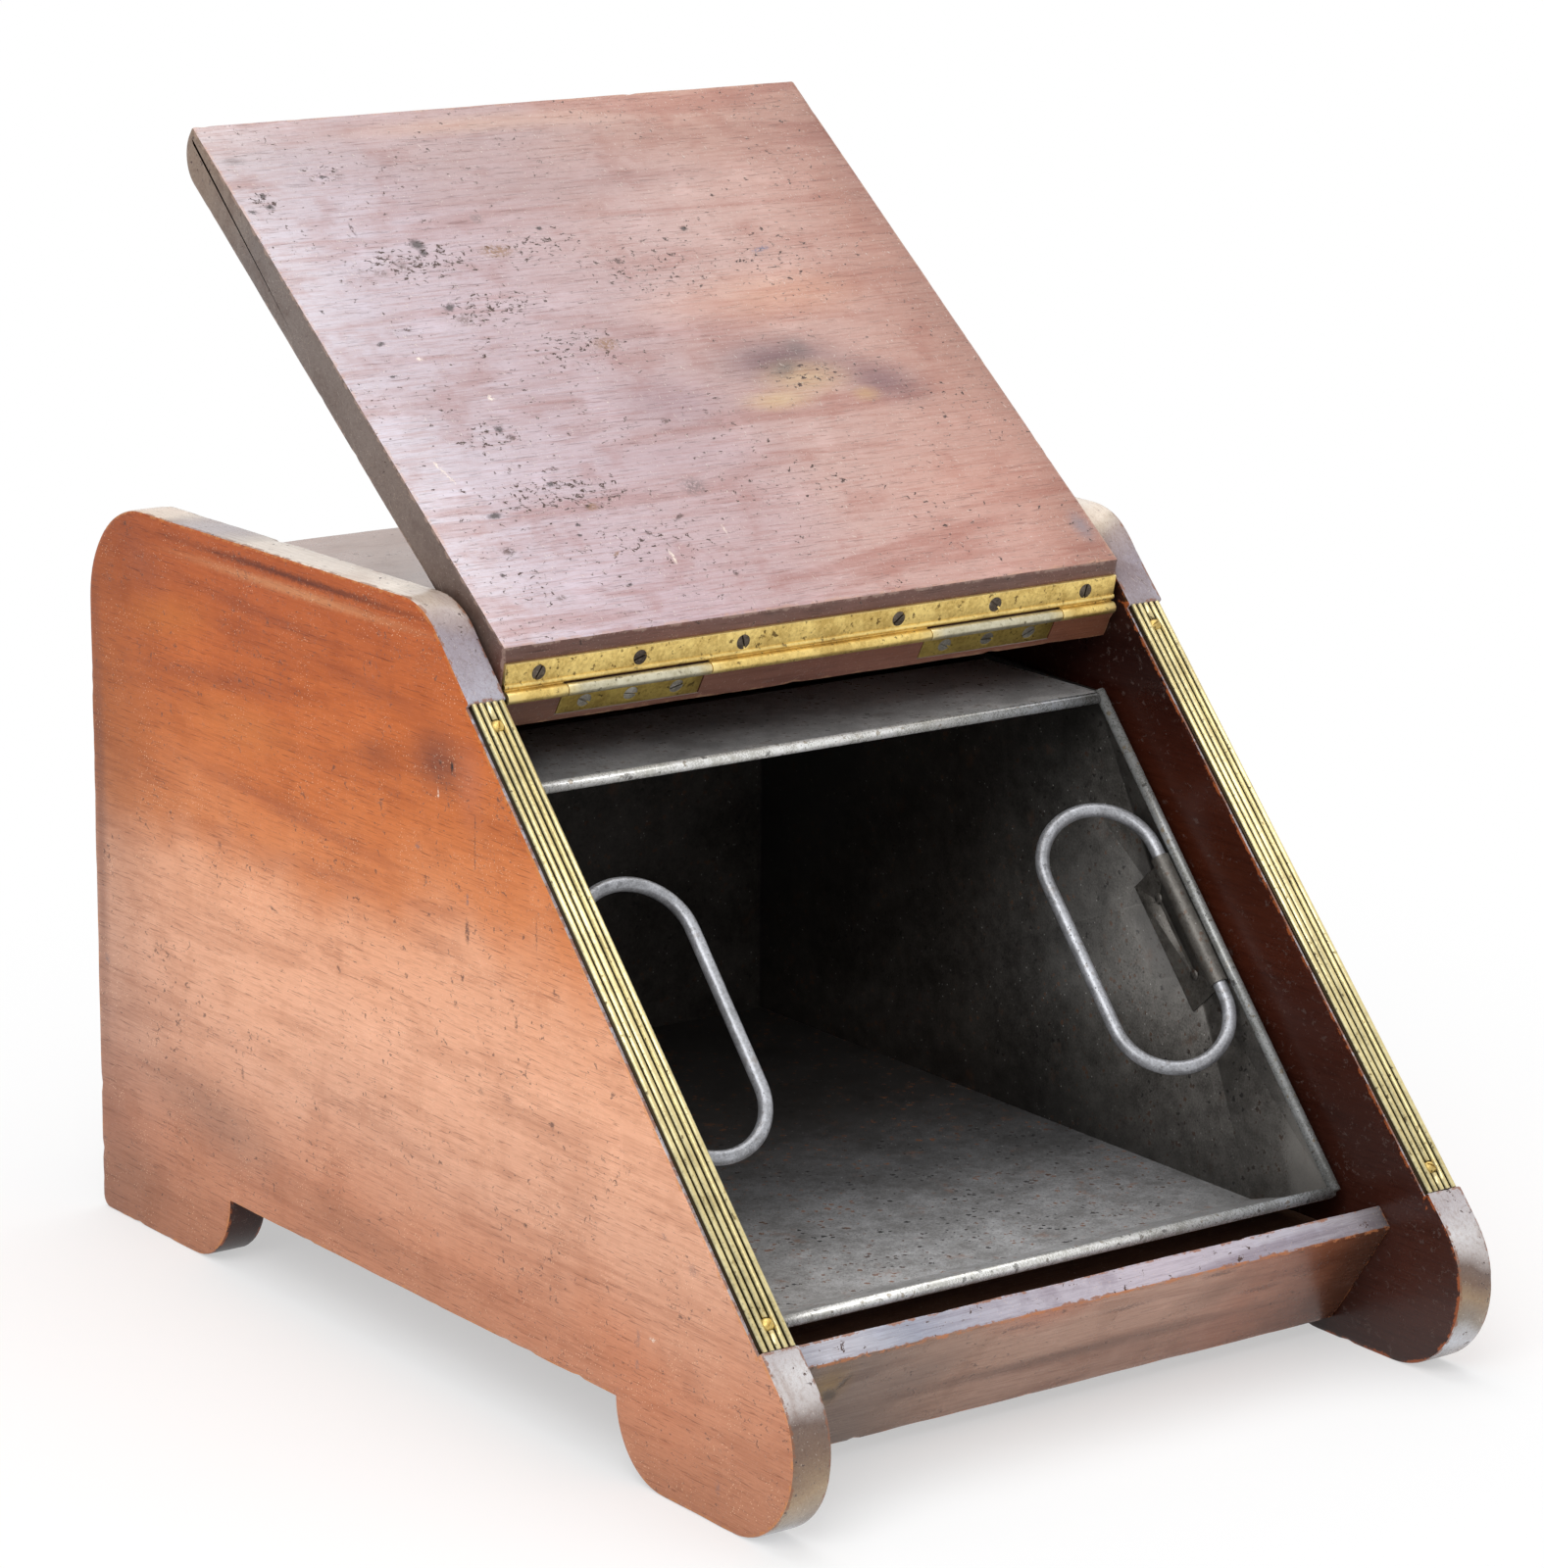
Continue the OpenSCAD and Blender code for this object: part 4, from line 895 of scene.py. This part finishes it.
def make_cross_boards():
    """The back and bottom boards and the apron, which leans back below the mouth."""
    across = (-HALF_IN, HALF_IN)
    front, foot, floor = 223.5, 30, 44.5
    board("back_panel", Outline([(front, foot), (BOARD_REAR, foot), (BOARD_REAR, TOP_UNDER),
                                 (front, TOP_UNDER)]),
          across, [M_BACK], "back_board", 0.5, 6, 0.6, 11)
    top = slope_point(14, 27.3)

    def apron(z, start=top):
        return Vector((start.x + (start.y - z) * math.tan(APRON_LEAN), z))
    behind = top + 10 * Vector((math.cos(APRON_LEAN), math.sin(APRON_LEAN)))
    board("bottom_panel", Outline([apron(foot, behind), (front, foot), (front, floor),
                                   apron(floor, behind)]),
          across, [M_UNDER], "bottom_board", 0.4, 8, 0.3, 12)
    inner = slope_point(14 + 10 / math.sin(math.pi / 2 - APRON_LEAN + SLOPE), 27.3)
    # The apron's upward faces take the top material with its painted reflection.
    board("apron_panel", Outline([top, apron(7.6), apron(7.6, behind), inner]),
          across, [M_APRON, M_APRON_TOP_SHEEN], "front_apron", 0.5, 3, 1.0, 14,
          lambda c, n: 1 if n.z > 0.5 else 0)


def rail_point(t, n=1.2):
    """Point (y, z) of the top board's front face, t down from the pin and n into the wood."""
    return PIN + n * RAIL_IN + t * RAIL_DOWN


def make_top_board():
    """The top board, with a shallow recess for each short hinge leaf."""
    half_leaf, recess, ridge_in = 32.8, 2.7, 9.6
    u_ridge = (TOP_Z - SLOPE_START.y + ridge_in * math.cos(SLOPE)) / math.sin(SLOPE)
    ridge = slope_point(u_ridge, ridge_in)
    turn = SLOPE - RAIL
    t_top = (ridge_in - 5.9 - 1.2 * math.sin(turn)) / math.cos(turn)
    t_foot = (PIN.y + 1.2 * math.sin(RAIL) - TOP_UNDER) / math.cos(RAIL)
    pocket_t = min(13.5, t_foot - 0.4)
    corner = rail_point(t_top)
    floor_corner = corner + (ridge - corner).normalized() * (1.5 / math.cos(turn))
    marks = [floor_corner, rail_point(pocket_t - 0.01), rail_point(pocket_t + 0.01)]
    points = [rail_point(t_foot), (BOARD_REAR, TOP_UNDER), (BOARD_REAR, TOP_Z), ridge, corner]
    ends = [s * x + e for s in (-1, 1) for x in (LEAF_X - half_leaf, LEAF_X + half_leaf)
            for e in (-0.01, 0.01)]

    def shape(x, y, z):
        if LEAF_X - half_leaf < abs(x) < LEAF_X + half_leaf:
            rel = Vector((y, z)) - PIN
            if rel.dot(RAIL_DOWN) < pocket_t and rel.dot(RAIL_IN) < recess:
                return rail_point(rel.dot(RAIL_DOWN), recess)
        return y, z

    board("top_panel", Outline(points, 4.0, 0.6, marks), (-HALF_IN, HALF_IN), [M_TOP, M_RAIL],
          "top_board", 0.5, 4, 0.7, 15, lambda c, n: 0 if n.z > 0.5 or n.y > 0.5 else 1, ends, shape)


def make_lid():
    """The lid: bevelled at the hinge, rounded at its far outer edge, bevel and arrises worn."""
    inner, outer, far, nose, half = 16.3, -1.5, 288.6, 14, 145.8

    def end(b):
        return (2.7 + b * math.sin(LID_BEVEL)) / math.cos(LID_BEVEL)
    curve = [p for p in arc((far - nose, nose + outer), nose, -90, 0, 16) if p.y < inner]
    local = [(end(outer), outer)] + curve + [(far, inner), (end(inner), inner)]
    c, s = math.cos(OPEN), math.sin(OPEN)
    points = [(PIN.x + a * c - b * s, PIN.y + a * s + b * c) for a, b in local]

    def pick(centre, n):
        facing = n.dot(Vector((0, -s, c)))
        return 0 if facing > 0.8 else 1 if facing < -0.8 else 2
    board("lid_panel", Outline(points, 3.0, 0.9), (-half, half), [M_LID_IN, M_LID_OUT, M_LID_EDGE],
          "lid_board", 0.9, 3.0, 0.45, 16, pick, body="lid")


# ----------------------------------------------------------------- brass parts

M_LONG_LEAF = brass("long_leaf_brass", (246, 218, 138), (196, 164, 92), (76, 56, 34), 0.45, 0.32, 0.7,
    (0.03, 0.9, 0.9), seed=1)
M_SHORT_LEAF = brass("short_leaf_brass", (196, 172, 92), (146, 122, 60), (56, 42, 24), 0.5, 0.36, 0.5,
    (0.05, 0.6, 0.6), seed=2)
M_SHORT_KNUCKLE = brass("short_knuckle_brass", (214, 208, 184), (176, 168, 138), (70, 60, 48), 0.4, 0.28,
    0.6, (0.05, 0.6, 0.6), seed=3)
M_STRIP = brass("strip_brass", (238, 228, 180), (182, 172, 132), (74, 60, 40), 0.4, 0.28, 0.6, (0.5,
    0.04, 0.04), valley=(58, 48, 32), seed=4)
M_DOME = brass("dome_brass", (214, 186, 112), (164, 140, 84), (70, 52, 30), 0.4, 0.3, 0.4, seed=5)
M_DARK_SCREW = steel("dark_screw_steel", (60, 52, 46), (120, 108, 96), (72, 44, 28), 0.42, 0.85, 0.6,
    0.2, seed=6)
M_PALE_SCREW = steel("pale_screw_steel", (128, 122, 112), (200, 196, 186), (96, 70, 48), 0.36, 0.85, 0.6,
    0.2, seed=7)


def knuckle(x0, x1, r=2.4):
    """A rolled knuckle round the pin's axis, with softened ends."""
    profile = [(0, x0), (r - 0.3, x0), (r - 0.09, x0 + 0.09), (r, x0 + 0.3)]
    count = max(2, int((x1 - x0) / 6))
    profile += [(r, x0 + 0.3 + (x1 - x0 - 0.6) * i / count) for i in range(1, count)]
    profile += [(r, x1 - 0.3), (r - 0.09, x1 - 0.09), (r - 0.3, x1), (0, x1)]
    verts, faces = lathe(profile, 28)
    turned = Matrix.Translation((0, PIN.x, PIN.y)) @ Matrix(((0, 0, 1, 0), (1, 0, 0, 0),
                                                            (0, 1, 0, 0), (0, 0, 0, 1)))
    wear = [1.0 if abs(v.z - x0) < 0.4 or abs(v.z - x1) < 0.4 else 0.0 for v in verts]
    return [turned @ v for v in verts], faces, wear


def make_hinge():
    """The long leaf with its bead and knuckles, and the two short leaves."""
    half, y, z, end, gap, mid = 144.9, 4.0, 1.4, 144.6, 117.8, 52.2
    holes = [(s * x, SCREW_Y) for s in (-1, 1) for x in LONG_SCREW_X]
    path = [Vector((-half + 2 * half * i / 40, y, z)) for i in range(41)]
    verts, faces = tube(path, 1.0, False, 18, 0.02)
    parts = [plate(ON_LID_END, -half, half, 2.75, 13.0, 1.2, 2.7, holes),
             ([ON_LID_END @ v for v in verts], faces, [0.3] * len(verts))]
    spans = ((-end, -gap), (-mid, mid), (gap, end))
    parts += [knuckle(a, b) for a, b in spans]
    parts += [plate(ON_LID_END, a + 0.3, b - 0.3, 1.9, 2.8, 1.25, 2.1, round_off=0.1)
              for a, b in spans]
    piece("long_leaf_brass", joined(parts), M_LONG_LEAF, "lid", "long_leaf")

    for x, node in ((-LEAF_X, "left_short_leaf"), (LEAF_X, "right_short_leaf")):
        holes = [(x + dx, SCREW_Y) for dx in (-LEAF_SCREW_X, 0, LEAF_SCREW_X)]
        leaf = plate(ON_RAIL, x - 32.2, x + 32.2, 1.9, 13.2, 1.2, 2.7, holes)
        piece(node + "_plate", leaf, M_SHORT_LEAF, "box", node)
        piece(node + "_knuckle", knuckle(x - 32.5, x + 32.5), M_SHORT_KNUCKLE, "box", node)


def make_screws():
    """Countersunk screws in the leaves and round-headed ones in the trim strips."""
    shape = slotted([(0, -8.0), (1.3, -7.0), (1.6, -1.7), (1.65, -1.4), (2.9, -0.12), (3.0, 0.0),
                     (2.9, 0.03), (0, 0.05)], 0.75, 0.7, 0.02)
    long_xs = [-x for x in reversed(LONG_SCREW_X)] + list(LONG_SCREW_X)
    short_xs = [s * LEAF_X + dx for s in (-1, 1) for dx in (-LEAF_SCREW_X, 0, LEAF_SCREW_X)]
    for node, base, xs, turns, finish, body in (
            ("long_leaf_screw", ON_LID_END, long_xs, (1.1, 0.35, 1.9, 0.7, 2.5, 1.45),
             M_DARK_SCREW, "lid"),
            ("short_leaf_screw", ON_RAIL, short_xs, (0.5, 0.2, 2.8, 0.4, 0.1, 2.6),
             M_PALE_SCREW, "box")):
        places = [base @ Matrix.Translation((x, SCREW_Y, 1.24)) @ Matrix.Rotation(a, 4, "Z") @ FLIP
                  for x, a in zip(xs, turns)]
        piece(node + "_heads", stamped(shape, places), finish, body, node + "s")

    rise = 1.9
    dome_r = (2.7 ** 2 + rise ** 2) / (2 * rise)
    curve = [(math.sqrt(max(dome_r ** 2 - (h + dome_r - rise) ** 2, 0)), h)
             for h in [rise * (1 - (1 - i / 10) ** 2) for i in range(11)]]
    profile = [(0, -12.9), (1.2, -11.5), (1.55, -9), (1.55, 0), (2.7, 0)] + curve[1:-1] + [(0, rise)]
    trim_l = SLOPE_L - TRIM_HEAD - TRIM_FOOT
    places = [ON_SLOPE @ Matrix.Translation((x, TRIM_FOOT + u, -1.24)) @ Matrix.Rotation(a, 4, "Z")
              for x, u, a in ((-156.25, 10, 0.9), (-156.25, trim_l - 10, 1.3),
                              (156.25, 10, 2.4), (156.25, trim_l - 10, 0.3))]
    piece("trim_screw_heads", stamped(slotted(profile, 0.7, 0.9, rise), places), M_DOME, "box",
          "trim_screws")


def crest(p):
    """1 on the crests of the reeds, 0 in their valleys."""
    rise = (Vector((p.y, p.z)) - SLOPE_START).dot(Vector((-math.sin(SLOPE), math.cos(SLOPE))))
    return max(0.0, min(1.0, 1 + rise / 1.24))


def make_strips():
    for node in ("left_trim_strip", "right_trim_strip"):
        cad_copy(node + "_brass", node, M_STRIP, "box", 50, crest)


# ----------------------------------------------------------------- steel parts

# Liner walls and back: the Y factors, from 1.5 at the mouth down to about 0.25 further in, are painted
# shade.
M_LINER = steel("liner_steel", (70, 66, 62), (150, 146, 140), (92, 66, 50), 0.4, 0.25, 0.9, 1.6,
    tints=[("Y", [(-190, 1.5), (-140, 1.05), (-100, 0.78), (-60, 0.58), (-10, 0.26),
    (60, (0.23, 0.21, 0.2)), (120, (0.26, 0.24, 0.23))])], flakes=0.8, seed=1, marks=[((141, -80, 165),
    (24, 34, 60), (46, 43, 40), 0.75), ((141, -168, 80), (24, 26, 50), (176, 172, 166), 0.6),
    ((141, -140, 120), (24, 14, 20), (30, 28, 26), 0.8)])
# Hood: the Y and X factors are painted light and shade, brighter just behind its front edge and towards
# the right, darker further back.
M_HOOD = steel("hood_steel", (150, 150, 150), (230, 230, 230), (120, 92, 70), 0.4, 0.25, 0.9,
    tints=[("Y", [(-60, 0.85), (-20, 0.9), (5, 1.5), (40, 1.6), (80, 0.5), (243, 0.35)]), ("X",
    [(-165, 0.9), (0, 0.9), (60, 1.2), (140, 1.3)])], flakes=0.7, seed=8)
# Liner floor and lip: the Y factors darken them further in, to about 0.16, and the X factors towards the
# right wall, as painted shade.
M_FLOOR = steel("floor_steel", (140, 138, 136), (206, 206, 208), (150, 98, 62), 0.5, 0.2, 0.8,
    tints=[("Y", [(-190, 1.0), (-110, 0.98), (-60, 0.7), (-20, 0.4), (60, (0.17, 0.155, 0.145)),
    (200, (0.16, 0.145, 0.135))]), ("X", [(-165, (0.95, 0.9, 0.84)), (0, 1.0), (135, 0.68)])],
    flakes=0.8, seed=2)
# Wired rims: pale zinc whose light mottle up to white is partly a painted highlight. Beyond x 118, along
# the right wall, the factors drop to about 0.4 as painted shade.
M_RIM = steel("rim_zinc", (176, 174, 164), (255, 255, 255), (138, 116, 78), 0.28, 0.35, 0.9, 0.2,
    tints=[("X", [(-165, 1.0), (60, 1.05), (118, (0.92, 0.97, 1.05)), (134, (0.4, 0.41, 0.42)),
    (165, 0.34)])], flakes=0.6, seed=3)
M_BAIL = steel("bail_zinc", (112, 112, 114), (196, 198, 204), (112, 96, 76), 0.36, 0.5, 0.9, 0.2,
    flakes=0.3, seed=4)
M_STRAP = steel("strap_steel", (58, 54, 50), (118, 114, 108), (96, 70, 52), 0.42, 0.4, 0.9, 0.3,
    flakes=0.6, seed=5)


def on_rim(c):
    """Whether a place lies on one of the wired rims."""
    rel = Vector((c.y, c.z)) - RIM_BOTTOM
    along = Vector((math.cos(RIM), math.sin(RIM)))
    off = Vector((abs(abs(c.x) - 141.5), rel.x * along.y - rel.y * along.x)).length
    if off < 2.42 and rel.dot(along) > -1:
        return True
    return min((Vector((c.y, c.z)) - p).length for p in (RIM_TOP, RIM_BOTTOM)) < 2.42


def make_liner():
    """The liner's sheets, each with its part of the wired rim, and the straps."""
    for node, material in (("left_wall", M_LINER), ("right_wall", M_LINER), ("hood", M_HOOD),
                           ("back", M_LINER), ("floor", M_FLOOR), ("lip", M_FLOOR)):
        node = "liner_" + node
        cad_copy(node + "_sheet", node, [material, M_RIM], "liner", 40,
                 pick=lambda c, n: 1 if on_rim(c) else 0)
    for name, node in (("left_strap_steel", "left_strap"), ("right_strap_steel", "right_strap"),
                       ("rivet_heads", "strap_rivets")):
        cad_copy(name, node, M_STRAP, "liner", 40)


def make_bails():
    """The wire loops, each hanging at the angle that the photograph shows."""
    r, half = BAIL_R, BAIL_HALF
    turns = [math.pi * i / 28 for i in range(28)]
    steps = [-half + 2 * half * i / 34 for i in range(34)]
    flat = [(0.0, y) for y in steps]
    flat += [(r - r * math.cos(a), half + r * math.sin(a)) for a in turns]
    flat += [(2 * r, -y) for y in steps]
    flat += [(r + r * math.cos(a), -half - r * math.sin(a)) for a in turns]
    for side, droop, name in ((-1, -5, "left"), (1, 18, "right")):
        base = ON_RIM @ Matrix.Translation((side * BAIL_X, BAIL_U, -BAIL_DROP))
        base = base @ Matrix.Rotation(math.radians(-side * droop), 4, "Y")
        path = [base @ Vector((-side * x, y, 0)) for x, y in flat]
        verts, faces = tube(path, WIRE_R, True, 24, 0.03, side)
        piece(name + "_bail_wire", (verts, faces, [0.0] * len(verts)), M_BAIL, "bail_" + name,
              name + "_bail", 60)


# ------------------------------------------------------- floor, light, camera

def make_floor():
    """A pale floor that keeps the object's shadow and turns to plain white further off."""
    g = Graph("studio_floor")
    tone = g.noise(g.stretched(), 0.004, 2)
    colour = g.mix(tone, (0.93, 0.93, 0.93, 1), (0.95, 0.95, 0.95, 1))
    g.finish(colour, 0.9, g.bump(tone, 0.1, 0.1), Specular_IOR_Level=0.1)
    aside = g.minus(g.calc("ABSOLUTE", g.along("X")), BOX_W / 2)
    beyond = g.minus(g.calc("ABSOLUTE", g.along("Y")), 243)
    white = g.mul(g.seen(), g.span(g.most(aside, beyond), 0, 500, 0.5, 1.0))
    both = g.add("MixShader", {0: white, 1: g.bsdf.outputs[0], 2: g.add("Emission").outputs[0]})
    g.put(g.out.inputs[0], both.outputs[0])
    mesh = bpy.data.meshes.new("studio_floor")
    mesh.from_pydata([(-30, -30, 0), (30, -30, 0), (30, 30, 0), (-30, 30, 0)], [], [(0, 1, 2, 3)])
    mesh.materials.append(g.mat)
    floor = bpy.data.objects.new("studio_floor", mesh)
    bpy.context.scene.collection.objects.link(floor)


def make_world():
    """White where it is seen, and a soft fill light."""
    world = bpy.data.worlds.new("studio")
    bpy.context.scene.world = world
    g = Nodes(world)
    fill = g.add("Background", {"Color": (0.98, 0.99, 1.0, 1), "Strength": 0.5})
    white = g.add("Background", {"Color": (1, 1, 1, 1), "Strength": 1.0})
    both = g.add("MixShader", {0: g.seen(), 1: fill.outputs[0], 2: white.outputs[0]})
    g.add("OutputWorld", {0: both.outputs[0]})


def make_lamp(name, place, size, power):
    """A square soft box aimed at the scuttle."""
    data = bpy.data.lights.new(name, "AREA")
    data.shape = "RECTANGLE"
    data.size, data.size_y = size, size
    data.energy = power
    lamp = bpy.data.objects.new(name, data)
    lamp.location = place
    lamp.rotation_euler = (Vector((0, 0, 0.15)) - Vector(place)).to_track_quat("-Z", "Y").to_euler()
    bpy.context.scene.collection.objects.link(lamp)


def make_camera():
    """The camera as fitted to the photograph."""
    az, el, roll = math.radians(36.117), math.radians(-13.886), 0.00722
    forward = Vector((math.sin(az) * math.cos(el), math.cos(az) * math.cos(el), math.sin(el)))
    right = forward.cross(Vector((0, 0, 1))).normalized()
    up = right.cross(forward)
    r = math.cos(roll) * right + math.sin(roll) * up
    u = -math.sin(roll) * right + math.cos(roll) * up
    data = bpy.data.cameras.new("photo_camera")
    data.sensor_width, data.sensor_fit = 36, "AUTO"
    data.lens, data.clip_end = 125.863, 100
    cam = bpy.data.objects.new("photo_camera", data)
    cam.matrix_world = Matrix(((r.x, u.x, -forward.x, -1.22433), (r.y, u.y, -forward.y, -1.67961),
                               (r.z, u.z, -forward.z, 0.72104), (0, 0, 0, 1)))
    bpy.context.scene.collection.objects.link(cam)
    bpy.context.scene.camera = cam


make_sides()
make_cross_boards()
make_top_board()
make_lid()
make_strips()
make_hinge()
make_screws()
make_liner()
make_bails()
NODES["hinge_pin"].data.materials.clear()
NODES["hinge_pin"].data.materials.append(M_DARK_SCREW)

make_floor()
make_world()
make_lamp("key", (-2.2, -1.6, 2.6), 2.4, 60)
make_lamp("top", (0.3, 0.4, 3.0), 2.6, 40)
make_camera()
bpy.context.scene.view_settings.view_transform = "Standard"
